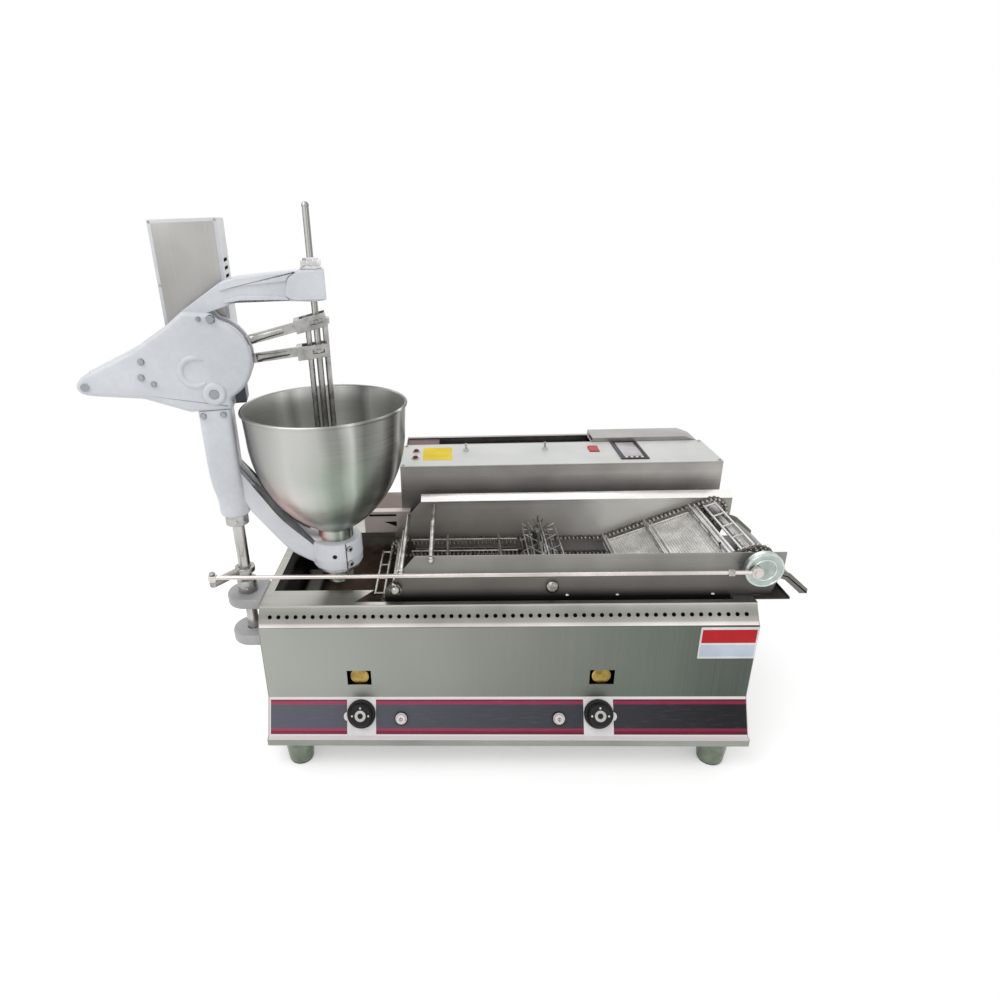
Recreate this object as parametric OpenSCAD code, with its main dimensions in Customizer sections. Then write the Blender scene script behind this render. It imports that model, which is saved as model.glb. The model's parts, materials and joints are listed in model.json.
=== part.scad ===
/* [Cabinet] */
// Width of the cabinet
cab_w = 830; // [820:1:860]
// Depth of the cabinet behind its front panel
cab_d = 515; // [510:1:560]
// Height of the cabinet body from its base to the top of its deck
cab_h = 250; // [240:1:270]
// Thickness of the cabinet sheets
sheet = 1.5; // [1.2:0.1:2]
// Height of the feet
foot_h = 52; // [40:1:80]
// Width of a foot at its top
foot_d = 54; // [40:1:56]
// Width of a foot at the floor
foot_low_d = 44; // [30:1:50]
// Reach of the base lip ahead of the front panel
lip_out = 38; // [36:0.5:44]
// Height of the base lip
lip_h = 13; // [10:0.5:16]
// Reach of the control strip at its lower edge
strip_out = 30; // [26:0.5:34]
// Height of the control strip
strip_rise = 60; // [54:1:66]
// Height of the top edge of the front panel above the base
panel_rise = 219; // [205:1:228]
// Width of a viewing window
window_w = 42; // [30:1:60]
// Height of a viewing window
window_h = 30; // [20:1:40]
// Holes along the vent rail
vent_count = 55; // [45:1:55]
// Width of a vent hole
vent_d = 7; // [4:0.1:8]

/* [Tank] */
// Space between the tank and the left side of the cabinet
tank_left_in = 15; // [10:1:35]
// Space between the tank and the right side of the cabinet
tank_right_in = 35; // [15:1:36]
// Front wall of the tank behind the front panel
tank_front = 32; // [26:1:42]
// Space between the tank and the control box
tank_back_in = 18; // [6:1:28]
// Depth of the tank below the deck
tank_depth = 105; // [95:1:110]

/* [Burners] */
// Distance of the left burner from the left side of the cabinet
left_burner_in = 165; // [145:1:185]
// Distance of the right burner from the right side of the cabinet
right_burner_in = 248; // [225:1:265]
// Width of a burner tube
burner_d = 32; // [22:1:32]
// Width of the gas pipe
pipe_d = 18; // [15:0.5:20]
// Width of the gas inlet nipple
inlet_d = 21; // [20.5:0.1:26]
// Reach of the gas inlet behind the cabinet
inlet_out = 20; // [12:1:30]
// Width of a gas knob
knob_d = 50; // [40:1:54]
// Height of a gas knob
knob_h = 18; // [14:0.5:24]
// Width of an igniter button
button_d = 16; // [12:0.5:18]

/* [Control box] */
// Height of the control box above the deck
box_h = 138; // [134:1:150]
// Distance of the control box from the left side of the cabinet
box_left_in = 226; // [220:1:229]
// Reach of the control box beyond the right side of the cabinet
box_right_out = 37; // [33:1:45]
// Depth of the control box
box_d = 132; // [128:1:136]
// Depth of the flue behind the control box
flue_d = 65; // [60:1:70]
// Height of the flue above the deck
flue_h = 137; // [120:1:138]

/* [Conveyor] */
// Front plate of the conveyor behind the front panel
lane_front = 45; // [45:0.5:48]
// Space between the rear conveyor plate and the tank wall
lane_back_in = 28.5; // [26:0.5:32]
// Thickness of the conveyor plates
plate_t = 1.5; // [1.2:0.1:2]
// Height of the conveyor plates above the deck
plate_rise = 80; // [76:1:90]
// Radius of the chain centre line at a sprocket
chain_r = 26; // [25:0.5:27]
// Width of the drive shaft
drive_d = 16; // [12:0.5:18]
// Radius of the crank disc
crank_r = 31; // [28:0.5:34]
// Throw of the crank pin
crank_throw = 15; // [12:0.5:17]
// Radius of the flipper paddles
flipper_r = 38; // [30:1:39]

/* [Post] */
// Distance of the post from the cabinet side
post_out = 31; // [30:0.5:34]
// Place of the post behind the front panel
post_y = 70; // [66:1:74]
// Width of the post
post_d = 20; // [18:0.5:22]
// Reach of the swing lever
lever_l = 64.4; // [62:0.2:68]
// Width of the connecting rod
rod_d = 7; // [6:0.5:9]

/* [Head] */
// Turn of the head from the line of the cabinet front
head_yaw = 12; // [8:0.5:16]
// Space between the line of the post and the hopper
bowl_gap = 33; // [32:0.5:39]
// Height of the cam housing centre above the deck
head_z = 412; // [408:1:420]
// Radius of the cam housing
housing_r = 62; // [60:0.5:66]
// Length of the tapered end of the housing
bill_l = 180; // [176:1:186]
// Inner width of the housing
gap_w = 32; // [32:0.5:36]
// Thickness of the housing walls
cast_t = 12; // [10:0.5:14]
// Width of the head column
column_w = 50; // [46:1:52]
// Depth of the head column
column_d = 52; // [44:1:54]
// Width of the camshaft
cam_d = 14; // [12:0.5:16]
// Width of the motor box
motor_box_w = 98; // [94:1:104]
// Depth of the motor box
motor_box_d = 94; // [90:1:100]
// Height of the motor box
motor_box_h = 183; // [170:1:190]

/* [Hopper] */
// Outer radius of the hopper bowl
bowl_r = 129; // [124:0.5:132]
// Outer radius of the hopper neck
neck_r = 30; // [29:0.25:31]
// Thickness of the hopper wall
hopper_t = 1.5; // [1:0.1:2]
// Height of the hopper rim above the deck
rim_z = 326; // [320:0.5:328]
// Inner radius of the dough cutter
cutter_r = 20; // [18:0.25:21]
// Wall of the dough cutter
cutter_t = 2.7; // [2:0.1:3]
// Width of the centre rod
centre_d = 10; // [8:0.5:11]

/* [Hidden] */
$fn = 64;
over = 1;
slide_gap = 0.3;
shaft_gap = 0.05;
seat_gap = 0.2;
base_z = foot_h;
deck_z = foot_h + cab_h;
half_w = cab_w / 2;
inner_w = cab_w - 2 * sheet;
reach = bowl_r + bowl_gap;
box_left = box_left_in - half_w;
box_right = half_w + box_right_out;
box_front = cab_d - flue_d - box_d;
tank_left = half_w - tank_left_in;
tank_right = half_w - tank_right_in;
tank_back = box_front - tank_back_in;
left_burner_x = left_burner_in - half_w;
right_burner_x = half_w - right_burner_in;
lane_w = tank_back - lane_front - 2 * plate_t - lane_back_in;
lane_in = lane_front + plate_t;
lane_out = lane_in + lane_w;
lane_end = lane_out + plate_t;
post_x = -half_w - post_out;
strip_fold_share = 1.5;
strip_low = lip_h + strip_fold_share * sheet;
strip_top = strip_low + strip_rise;
strip_tilt = atan2(strip_out, strip_rise);
rail_back = 22;
rail_step = 2;
rail_tilt = atan2(rail_back - rail_step, cab_h - sheet - panel_rise);
rail_share = 0.5;
vent_side = 19.45;
vent_pitch = (cab_w - 2 * vent_side) / (vent_count - 1);
foot_in = 49;
foot_front = -8;
foot_back = 45;

window_z = 116.5;
tank_floor = deck_z - tank_depth;
apron_d = 40;
apron_w = 178;
apron_cut = 30;
burner_z = 116;
burner_front = 5;
burner_end = 10;
burner_back = tank_back - burner_end;
burner_leg_d = 12;
burner_leg_front = 70;
burner_leg_in = 40;
burner_leg_back = tank_back - burner_leg_in;
feed_d = 9;
knob_up_share = 0.57;
button_up_share = 0.45;
left_knob_shift = 1;
right_knob_shift = 4;
left_button_side = 70;
right_button_side = 68;
left_knob_x = left_burner_x + left_knob_shift;
right_knob_x = right_burner_x - right_knob_shift;
left_button_x = left_knob_x + left_button_side;
right_button_x = right_knob_x - right_button_side;
stem_d = 8;
knob_skirt_h = 5;
knob_grip_share = 0.76;
valve_d = 24;
valve_stem = 10;
manifold_drop = 40;
manifold_side = 55;
inlet_side = 85;
inlet_x = half_w - inlet_side;
inlet_gap = 1;
manifold_y = strip_y(knob_up_share) + manifold_drop * cos(strip_tilt);
manifold_z = strip_z(knob_up_share) - manifold_drop * sin(strip_tilt);
clip_d = 10;
bezel_d = 23;
bezel_h = 3;
barrel_d = 19;
barrel_l = 24;
barrel_wall = 3;
button_l = 14;
button_out = 5.5;

panel_t = 1.5;
box_top = deck_z + box_h;
box_back = box_front + box_d;
display_side = 167;
display_front_in = 19;
display_back_in = 3;
display_x = box_right - display_side;
display_w = 56;
display_d = box_d - display_front_in - display_back_in;
display_y = box_front + display_front_in + display_d / 2;
display_h = 2.5;
display_rim = 4;
lamp_side = 29;
lamp_far = 88;
lamp_near = 46;
lamp_share = 0.7;
lamp_x = box_left + lamp_side;
lamp_back_y = box_front + lamp_far;
lamp_front_y = box_front + lamp_near;
lamp_d = 12;
lamp_h = 6;
toggle_left_side = 135;
toggle_right_side = 339;
toggle_back = 90;
toggle_left_x = box_left + toggle_left_side;
toggle_right_x = box_right - toggle_right_side;
toggle_y = box_front + toggle_back;
toggle_d = 12;
toggle_h = 5;
toggle_hole_d = 6.6;
lever_d = 4;
lever_len = 14;
switch_side = 238;
switch_back = 84;
switch_x = box_right - switch_side;
switch_y = box_front + switch_back;
switch_w = 20;
switch_d = 30;
switch_in = 4;
switch_gap = 0.8;
flue_left_in = 4;
flue_split_in = 231;
flue_right_in = 7;
flue_left = box_left + flue_left_in;
flue_split = box_right - flue_split_in;
flue_right = box_right - flue_right_in;
flue_wall = 2;
flue_lid = 10;
flue_slope = 26;
slot_front = 8;
slot_w = 48;
gearbox_w = 60;
gearbox_h = 72;
gearbox_l = 60;
gearbox_front = 4;
gear_bore_l = 14;
motor_d = 60;
motor_l = 130;
motor_foot_w = 24;
motor_foot_in = 28;
coupling_d = 34;
coupling_front = 3;
coupling_l = 28;
box_hole_d = 42;

drive_out = 3;
drive_up = 58;
infeed_in = 225;
infeed_down = 13;
infeed_r = 17;
climb_dx = 210;
drive_x = half_w + drive_out;
drive_z = deck_z + drive_up;
infeed_x = infeed_in - half_w;
infeed_z = deck_z - infeed_down;
foot_x = drive_x - climb_dx;
strand_z = infeed_z + infeed_r;
chain_h = 4;
chain_t = 6;
chain_gap = 7.5;
chain_step = 15;
chain_front = lane_in + chain_gap;
chain_rear = lane_out - chain_gap - chain_t;
climb_dz = drive_z - strand_z;
climb = atan2(climb_dz, climb_dx) + asin(chain_r / norm([climb_dx, climb_dz]));
climb_l = sqrt(climb_dx * climb_dx + climb_dz * climb_dz - chain_r * chain_r);
sprocket_r = chain_r - chain_h - slide_gap;
infeed_sprocket_r = infeed_r - chain_h - slide_gap;
bend_l = 2 * (chain_r * cos(climb) - infeed_r) / sin(climb);
bend_x = foot_x + 2 * chain_r * sin(climb) + bend_l * cos(climb);
infeed_d = 12;
axle_d = 10;
axle_out = 4;
flipper_before = 126;
flipper_up = 21;
flipper_x = foot_x - flipper_before;
flipper_z = deck_z + flipper_up;
paddle_t = 2;
paddle_n = 6;
paddle_in = 20;
hub_d = 22;
hub_l = 10;
flight_d = 5;
flight_rise = 16;
flight_gap = 0.2;
flight_share = 0.8;
flight_bars = 3;
upper_flight_shares = [0.24, 0.49];
lower_flight_shares = [0.12, 0.37, 0.62, 0.87];
climb_flight_shares = [0.02, 0.4, 0.8];
return_flight_shares = [0.3, 0.7];
lane_top_in = 43;
lane_low_out = 11;
lane_top_left = infeed_x + lane_top_in;
lane_low_left = infeed_x - lane_low_out;
lane_slant = 65;
lane_right_out = 41;
lane_heel_out = 26;
lane_right = drive_x + lane_right_out;
lane_heel = drive_x + lane_heel_out;
lane_right_drop = 33;
lane_seat = 0.3;
flange_w = 15;
tie_d = 8;
tie_ins = [69, 18, 8];
tie_zs = [73.5, 50, 21];
tie_cap_rs = [6, 6, 11];
axle_cap_r = 11;
cap_h_share = 0.86;
cap_dome_share = 0.8;
grid_t = 2;
grid_drop = 8;
grid_gap = 10;
grid_end_share = 0.93;
grid_bar = 8;
grid_bar_shares = [0.04, 0.45, 0.86];
chute_near = 34;
chute_far = 87;
chute_x = drive_x + chute_near;
chute_end = drive_x + chute_far;
chute_z = 55;
chute_low = 3;
chute_t = 1.5;
chute_in = 8;
chute_wall = 7;
chute_foot = 25;

lug_r = 36;
upper_lug_low = -15;
upper_lug_h = 19;
lower_lug_low = -90;
lower_lug_h = 20;
post_low = -97;
post_top = 238;
low_collar_d = 34;
low_collar_h = 23.7;
high_collar_d = 38;
high_collar_low = 135;
screw_d = 6;
screw_out = 3;
hub_r = 17;
lever_z = 42;
lever_t = 10;
lever_w = 13;
lever_turn = 233.8;
eye_d = 15;
eye_h = 11.2;
bolt_d = 6;
bolt_head_d = 11;
bolt_head_h = 4;
lever_dx = lever_l * cos(lever_turn);
lever_dy = lever_l * sin(lever_turn);
rod_up = 58;
rod_z = deck_z + rod_up;
rod_low = deck_z + lever_z + lever_t + slide_gap;
rod_y = post_y + lever_dy;
rod_left = post_x + lever_dx;
crank_dz = rod_z - drive_z;
crank_dx = -sqrt(crank_throw * crank_throw - crank_dz * crank_dz);
crank_t = 10;
crank_gap = 6.5;
crank_face = rod_y + crank_gap;
pin_out = 1.25;
pin_d = 10;
end_d = 19;
end_t = 8;
end_bolt_d = 12;
end_bolt_h = 3;

half_gap = gap_w / 2;
head_half = half_gap + cast_t;
wall_t = 4;
tip_r = 14;
tip_drop = 26;
cam_drop = 49;
seam_share = 1.22;
seam_drop = seam_share * housing_r;
seam_z = head_z - seam_drop;
bill_shares = [
  [-1.02, -0.18], [-0.6, 0.34], [-0.3, 0.87], [-0.16, 1.18], [0.06, 1.1], [0.12, 0.9],
  [0.13, -seam_share], [-0.22, -seam_share], [-0.57, -0.81], [-1.01, -0.64]];
roof_shares = [[-0.78, 0.1], [-0.6, 0.34], [-0.3, 0.87], [-0.16, 1.18]];
sole_shares = [[0.13, -seam_share], [-0.22, -seam_share], [-0.57, -0.81], [-0.78, -0.74]];
arm_shares = [
  [-0.18, 0.6], [0.18, 0.9], [0.33, 0.95], [0.8, 0.99], [1, 0.99], [1, 0.64], [0.35, 0.68],
  [-0.04, 0.53], [-0.2, 0.46]];
arm_high = 122;
arm_low = 77;
arm_boss_d = 38;
pivot_d = 12;
pivot_out = 2;
boss_r = 17;
boss_out = 5;
rib_u = -23;
rib_z = -14;
rib_r = 24;
rib_t = 6;
rib_out = 4;
rib_cut = 15;
screw_us = [-96, -100, -84, -6];
screw_zs = [6, -17, -28, 62];
screw_ds = [10, 10, 9, 7];
seam_us = [-22, 8];
seam_drop_z = 7;
screw_h = 4;
stud_u = 11;
stud_z = 61;
stud_d = 13;
stud_h = 8;

boss_z = 153;
boss_h = 20;
boss_taper = 6;
column_u = -5;
column_low = 190;
limb_d = 36;
ring_z = 44;
ring_h = 50;
ring_r = 44;
limb_shares = [
  [0.1, 3.9], [0.49, 1.92], [0.74, 1.12], [1, 1], [1, 0], [0.75, 0.12], [0.5, 0.68], [0.1, 2.6]];

arc_more = 74;
bowl_arc = bowl_r + arc_more;
neck_top = 111.66;
bowl_z = neck_top + sqrt(bowl_arc * bowl_arc - pow(neck_r - bowl_r + bowl_arc, 2));
flare = 3;
bead_r = 2.5;
nozzle_flange_d = 78;
nozzle_flange_h = 6;
nozzle_drop = 28;
nozzle_t = 3;
cutter_out = cutter_r + cutter_t;
nozzle_r = cutter_out + slide_gap;
cutter_low = 20;
cutter_h = 66;
spider_h = 6;
spider_w = 8;
cutter_rod_d = 9;
meter_rod_d = 7;
cutter_rod_u = 13;
meter_rod_y = 9;
piston_low = 50;
piston_h = 10;
piston_r = cutter_r - slide_gap;
former_low = 10;
former_h = 5;
former_gap = 0.7;
former_r = cutter_out - former_gap;
ball_r = 5.5;
rod_top = 208.5;
lock_d = 33;
lock_h = 16;

lift_up = 47;
lift_low = 3;
yoke_w = 24;
yoke_h = 8;
cutter_yoke_u = 20;
meter_yoke_u = 7.5;
trunnion_d = 6;
trunnion_out = 6.5;
tine_gap = 1.5;
tine_t = 5;
tine_h = 20;
tine_l = 16;
slot_h = trunnion_d + 2 * slide_gap;
slot_l = 18;
tine_in = yoke_w / 2 + tine_gap;
tine_out = tine_in + tine_t;
yoke_gap = 24;
bridge_l = 9;
rocker_t = 8;
rocker_in = 4;
rocker_h = 17;
rocker_out = 226;
rocker_bar_h = 14;
tip_boss_r = 11;
nose_z = -20;
nose_r = 8;
nose_w = 12;
cam_lobe_r = 15;
cam_offset = 5;
upper_rise = atan2(lift_up + tip_drop, reach + bill_l);
lower_rise = atan2(lift_low + tip_drop, reach + bill_l);
upper_l = norm([lift_up + tip_drop, reach + bill_l]);
lower_l = norm([lift_low + tip_drop, reach + bill_l]);

gear_w = 80;
gear_d = 47;
gear_h = 94;
gear_low = -80;
shaft_in = 22;
box_u = -66;
box_gap = 8;
motor_box_t = 1.5;
stator_d = 66;
stator_h = 120;
stator_neck_d = 26;
stator_neck_gap = 1;
stator_back = 24;
stator_u = box_u + motor_box_w / 2;
louvre_n = 6;
louvre_w = 5;
louvre_l = 50;
louvre_pitch = 12;
louvre_low = 60;

x_min = post_x - (bill_l + tip_r) * cos(head_yaw) - head_half * sin(head_yaw);
knob_y = strip_y(knob_up_share);
y_knob = knob_y - (seat_gap + knob_h) * cos(strip_tilt) - knob_d / 2 * knob_grip_share * sin(strip_tilt);
y_skirt = knob_y - (seat_gap + knob_skirt_h) * cos(strip_tilt) - knob_d / 2 * sin(strip_tilt);
y_min = min(y_knob, y_skirt, -lip_out);
y_max = cab_d + inlet_out;
cab_x = -(x_min + chute_end) / 2;
cab_y = -(y_min + y_max) / 2;

function strip_y(share) = -strip_out * (1 - share);
function strip_z(share) = base_z + strip_low + strip_rise * share;
function unit(v) = v / norm(v);
function side(v) = [-v[1], v[0]];
function corner(p, i) =
  let (a = i > 0 ? side(unit(p[i] - p[i - 1])) : side(unit(p[1] - p[0])))
  let (b = i < len(p) - 1 ? side(unit(p[i + 1] - p[i])) : a)
  (a + b) / (1 + a * b);
function folded(p, t) = concat(p, [for (i = [len(p) - 1:-1:0]) p[i] + t * corner(p, i)]);
function scaled(p, w, h) = [for (q = p) [q[0] * w, q[1] * h]];
function chain_loop(t) = concat(
  [for (a = [90:chain_step:270]) [infeed_x, infeed_z] + (infeed_r + t) * [cos(a), sin(a)]],
  [[bend_x, strand_z - 2 * infeed_r] + t * [tan(climb / 2), -1]],
  [for (a = [0:chain_step:180])
    [drive_x, drive_z] + (chain_r + t) * [cos(a + climb - 90), sin(a + climb - 90)]],
  [[foot_x, strand_z] + t * [-tan(climb / 2), 1]]);

module at_cabinet() translate([cab_x, cab_y, 0]) children();
module at_head() at_cabinet() translate([post_x, post_y, deck_z]) rotate([0, 0, head_yaw]) children();
module at_hopper() at_head() translate([reach, 0, 0]) children();
module at_strip(x, share) at_cabinet()
  translate([x, strip_y(share), strip_z(share)])
    rotate([90 - strip_tilt, 0, 0]) children();

// A flat sheet standing across the depth, from y onwards
module upright(y, t) translate([0, y + t, 0]) rotate([90, 0, 0]) linear_extrude(t) children();
// A profile drawn in depth and height, drawn out across the width
module across(w) translate([-w / 2, 0, 0]) rotate([90, 0, 90]) linear_extrude(w) children();
// A round bar along the depth
module bar_y(x, z, y, l, d) translate([x, y, z]) rotate([-90, 0, 0]) cylinder(d = d, h = l);
// A round bar along the width
module bar_x(x, y, z, l, d) translate([x, y, z]) rotate([0, 90, 0]) cylinder(d = d, h = l);

module feet() color("silver") at_cabinet()
  for (x = [foot_in - half_w, half_w - foot_in])
    for (y = [foot_front, cab_d - foot_back])
      translate([x, y, 0]) cylinder(d1 = foot_low_d, d2 = foot_d, h = foot_h);

module bottom_tray() color("silver") at_cabinet()
  across(inner_w)
    polygon(folded([[-lip_out, base_z + lip_h], [-lip_out, base_z], [cab_d - sheet, base_z]], sheet));

module end_profile()
  polygon([
    [cab_d, base_z], [-lip_out, base_z], [-lip_out, base_z + lip_h + sheet],
    [-strip_out, base_z + strip_low], [0, base_z + strip_top], [0, base_z + panel_rise],
    [rail_step, base_z + panel_rise], [rail_back, deck_z - sheet], [cab_d, deck_z - sheet]]);

module left_panel() color("silver") at_cabinet()
  translate([sheet / 2 - half_w, 0, 0]) across(sheet) end_profile();

module right_panel() color("silver") at_cabinet()
  translate([half_w - sheet / 2, 0, 0]) across(sheet) end_profile();

module rear_panel() color("silver") at_cabinet() difference() {
  translate([-inner_w / 2, cab_d - sheet, base_z]) cube([inner_w, sheet, cab_h - sheet]);
  bar_y(inlet_x, manifold_z, cab_d - sheet - over, sheet + 2 * over, pipe_d + 2 * slide_gap);
}

module front_panel() color("silver") at_cabinet() difference() {
  translate([-inner_w / 2, 0, base_z + strip_top])
    cube([inner_w, sheet, panel_rise - strip_top]);
  for (x = [left_burner_x, right_burner_x])
    translate([x - window_w / 2, -over, base_z + window_z - window_h / 2])
      cube([window_w, sheet + 2 * over, window_h]);
}

module vent_rail() color("lightgrey") at_cabinet() difference() {
  across(inner_w)
    polygon(folded([[rail_back, deck_z - sheet], [rail_step, base_z + panel_rise]], sheet));
  for (i = [0:vent_count - 1])
    translate([
      (i - (vent_count - 1) / 2) * vent_pitch,
      rail_step + (rail_back - rail_step) * rail_share,
      base_z + panel_rise + (cab_h - sheet - panel_rise) * rail_share])
      rotate([90 - rail_tilt, 0, 0]) translate([0, 0, -sheet - over])
        cylinder(d = vent_d, h = sheet + 2 * over);
}

module control_strip() color("dimgray") difference() {
  at_cabinet() across(inner_w)
    polygon(folded([
      [0, base_z + strip_top], [-strip_out, base_z + strip_low], [-lip_out, base_z + lip_h + sheet]], sheet));
  for (x = [left_knob_x, right_knob_x])
    at_strip(x, knob_up_share) translate([0, 0, -sheet - over])
      cylinder(d = stem_d + 2 * slide_gap, h = sheet + 2 * over);
  for (x = [left_button_x, right_button_x])
    at_strip(x, button_up_share) translate([0, 0, -sheet - over])
      cylinder(d = barrel_d + 2 * shaft_gap, h = sheet + 2 * over);
}

module oil_tank() color("gray") at_cabinet() {
  translate([-tank_left - sheet, tank_front - sheet, deck_z - sheet]) linear_extrude(sheet)
    polygon([[0, 0], [apron_w - apron_cut, 0], [apron_w, apron_d], [0, apron_d]]);
  tank_sheet();
}

module tank_sheet() difference() {
  union() {
    translate([-half_w, rail_back, deck_z - sheet]) cube([cab_w, cab_d - rail_back, sheet]);
    translate([-tank_left - sheet, tank_front - sheet, tank_floor - sheet])
      cube([tank_left + tank_right + 2 * sheet, tank_back - tank_front + 2 * sheet, tank_depth + sheet]);
  }
  translate([-tank_left, tank_front, tank_floor])
    cube([tank_left + tank_right, tank_back - tank_front, tank_depth + over]);
}

module burners() color("goldenrod") at_cabinet()
  for (x = [left_burner_x, right_burner_x]) {
    bar_y(x, base_z + burner_z, burner_front, burner_back - burner_front, burner_d);
    for (y = [burner_leg_front, burner_leg_back])
      translate([x, y, base_z + sheet]) cylinder(d = burner_leg_d, h = burner_z - sheet);
  }

module gas_manifold() color("slategray") at_cabinet() {
  bar_x(left_knob_x - manifold_side, manifold_y, manifold_z, inlet_x - left_knob_x + manifold_side, pipe_d);
  translate([inlet_x, manifold_y, manifold_z]) sphere(d = pipe_d);
  bar_y(inlet_x, manifold_z, manifold_y, cab_d + inlet_out / 2 - manifold_y, pipe_d);
  bar_y(inlet_x, manifold_z, cab_d + inlet_gap, inlet_out - inlet_gap, inlet_d);
  for (x = [left_knob_x - manifold_side / 2, inlet_x - manifold_side])
    translate([x, manifold_y, base_z + sheet]) cylinder(d = clip_d, h = manifold_z - base_z - sheet);
}

module gas_valve(x, burner_x) difference() {
  union() {
    at_strip(x, knob_up_share) translate([0, 0, -manifold_drop])
      cylinder(d = valve_d, h = manifold_drop - valve_stem - seat_gap);
    at_cabinet() translate([burner_x, manifold_y, manifold_z])
      cylinder(d = feed_d, h = base_z + burner_z - manifold_z - burner_d / 2 - seat_gap);
    at_cabinet() translate([min(x, burner_x) - feed_d, manifold_y - feed_d, manifold_z])
      cube([abs(x - burner_x) + 2 * feed_d, 2 * feed_d, pipe_d]);
  }
  at_cabinet() bar_x(x - cab_w, manifold_y, manifold_z, 2 * cab_w, pipe_d + 2 * seat_gap);
}

module gas_valves() color("darkgoldenrod") {
  gas_valve(left_knob_x, left_burner_x);
  gas_valve(right_knob_x, right_burner_x);
}

module igniter_body(x) at_strip(x, button_up_share) difference() {
  union() {
    translate([0, 0, seat_gap]) cylinder(d = bezel_d, h = bezel_h);
    translate([0, 0, -barrel_l]) cylinder(d = barrel_d, h = barrel_l + bezel_h);
  }
  translate([0, 0, -barrel_l + barrel_wall]) cylinder(d = button_d + 2 * slide_gap, h = 2 * barrel_l);
}

module igniter_bodies() color("silver") {
  igniter_body(left_button_x);
  igniter_body(right_button_x);
}

module control_box() color("lightslategray") at_cabinet() difference() {
  translate([box_left, box_front, deck_z]) cube([box_right - box_left, box_d, box_h - panel_t]);
  translate([box_left + sheet, box_front + sheet, deck_z - over])
    cube([box_right - box_left - 2 * sheet, box_d - 2 * sheet, box_h + 2 * over]);
  bar_y(drive_x, drive_z, box_front - over, sheet + 2 * over, box_hole_d);
}

module control_panel() color("ivory") at_cabinet() difference() {
  union() {
    translate([box_left, box_front, box_top - panel_t]) cube([box_right - box_left, box_d, panel_t]);
    for (x = [toggle_left_x, toggle_right_x])
      translate([x, toggle_y, box_top - panel_t]) cylinder(d = toggle_d, h = panel_t + toggle_h, $fn = 6);
  }
  for (x = [toggle_left_x, toggle_right_x])
    translate([x, toggle_y, box_top - panel_t - over])
      cylinder(d = toggle_hole_d, h = panel_t + toggle_h + 2 * over);
  translate([switch_x, switch_y, box_top - panel_t - over])
    translate([-switch_w / 2 - slide_gap, -switch_d / 2 - switch_gap, 0])
      cube([switch_w + 2 * slide_gap, switch_d + 2 * switch_gap, panel_t + 2 * over]);
}

module display_bezel() color("dimgray") at_cabinet() translate([display_x, display_y, box_top]) difference() {
  translate([-display_w / 2, -display_d / 2, 0]) cube([display_w, display_d, display_h]);
  translate([display_rim - display_w / 2, display_rim - display_d / 2, -over])
    cube([display_w - 2 * display_rim, display_d - 2 * display_rim, display_h + 2 * over]);
}

module indicator_lamps() color("darkred") at_cabinet()
  for (y = [lamp_front_y, lamp_back_y])
    translate([lamp_x, y, box_top]) {
      cylinder(d = lamp_d, h = lamp_h / 2);
      cylinder(d = lamp_d * lamp_share, h = lamp_h);
    }

module flue() color("darkgray") at_cabinet() {
  difference() {
    translate([flue_left, box_back, deck_z]) cube([flue_right - flue_left, cab_d - box_back, flue_h]);
    translate([flue_left + flue_wall, box_back + flue_wall, deck_z - over])
      cube([
        flue_right - flue_left - 2 * flue_wall, cab_d - box_back - 2 * flue_wall, flue_h + over - flue_wall]);
    translate([flue_left + flue_wall, box_back + slot_front, deck_z])
      cube([flue_split - flue_left - 2 * flue_wall, slot_w, flue_h + over]);
  }
  translate([0, box_back + flue_wall, deck_z + flue_h])
    upright(0, cab_d - box_back - 2 * flue_wall)
      polygon([[flue_split, 0], [flue_right, 0], [flue_right - flue_slope, flue_lid], [flue_split, flue_lid]]);
}

module conveyor_motor() color("steelblue") at_cabinet() difference() {
  union() {
    translate([drive_x - gearbox_w / 2, box_front + gearbox_front, drive_z - gearbox_h / 2])
      cube([gearbox_w, gearbox_l, gearbox_h]);
    translate([drive_x - motor_foot_in, box_front + gearbox_front, deck_z])
      cube([motor_foot_w, gearbox_l, drive_z - deck_z]);
    translate([0, box_front + gearbox_front + gearbox_l / 2, drive_z])
      bar_x(drive_x - gearbox_w / 2 - motor_l, 0, 0, motor_l, motor_d);
  }
  bar_y(drive_x, drive_z, box_front, gearbox_front + gear_bore_l + over, drive_d + 2 * shaft_gap);
}

module lane_plate(y) difference() {
  upright(y, plate_t)
    polygon([
      [lane_top_left, deck_z + plate_rise], [lane_right, deck_z + plate_rise],
      [lane_right, deck_z + plate_rise - lane_right_drop], [lane_heel, deck_z + lane_seat],
      [tank_right - lane_seat, deck_z + lane_seat], [tank_right - lane_seat, tank_floor],
      [lane_low_left, tank_floor], [lane_low_left, deck_z + plate_rise - lane_slant]]);
  bar_y(drive_x, drive_z, y - over, plate_t + 2 * over, drive_d + 2 * shaft_gap);
  bar_y(infeed_x, infeed_z, y - over, plate_t + 2 * over, infeed_d - 2 * axle_out + 2 * shaft_gap);
  bar_y(flipper_x, flipper_z, y - over, plate_t + 2 * over, axle_d + 2 * shaft_gap);
  for (i = [0:len(tie_ins) - 1])
    bar_y(infeed_x + tie_ins[i], deck_z + tie_zs[i], y - over, plate_t + 2 * over, tie_d + 2 * shaft_gap);
}

module front_plate() color("silver") at_cabinet() lane_plate(lane_front);

module rear_plate() color("silver") at_cabinet() {
  lane_plate(lane_out);
  translate([lane_top_left, lane_out, deck_z + plate_rise - plate_t])
    cube([lane_right - lane_top_left, plate_t + flange_w, plate_t]);
}

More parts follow.
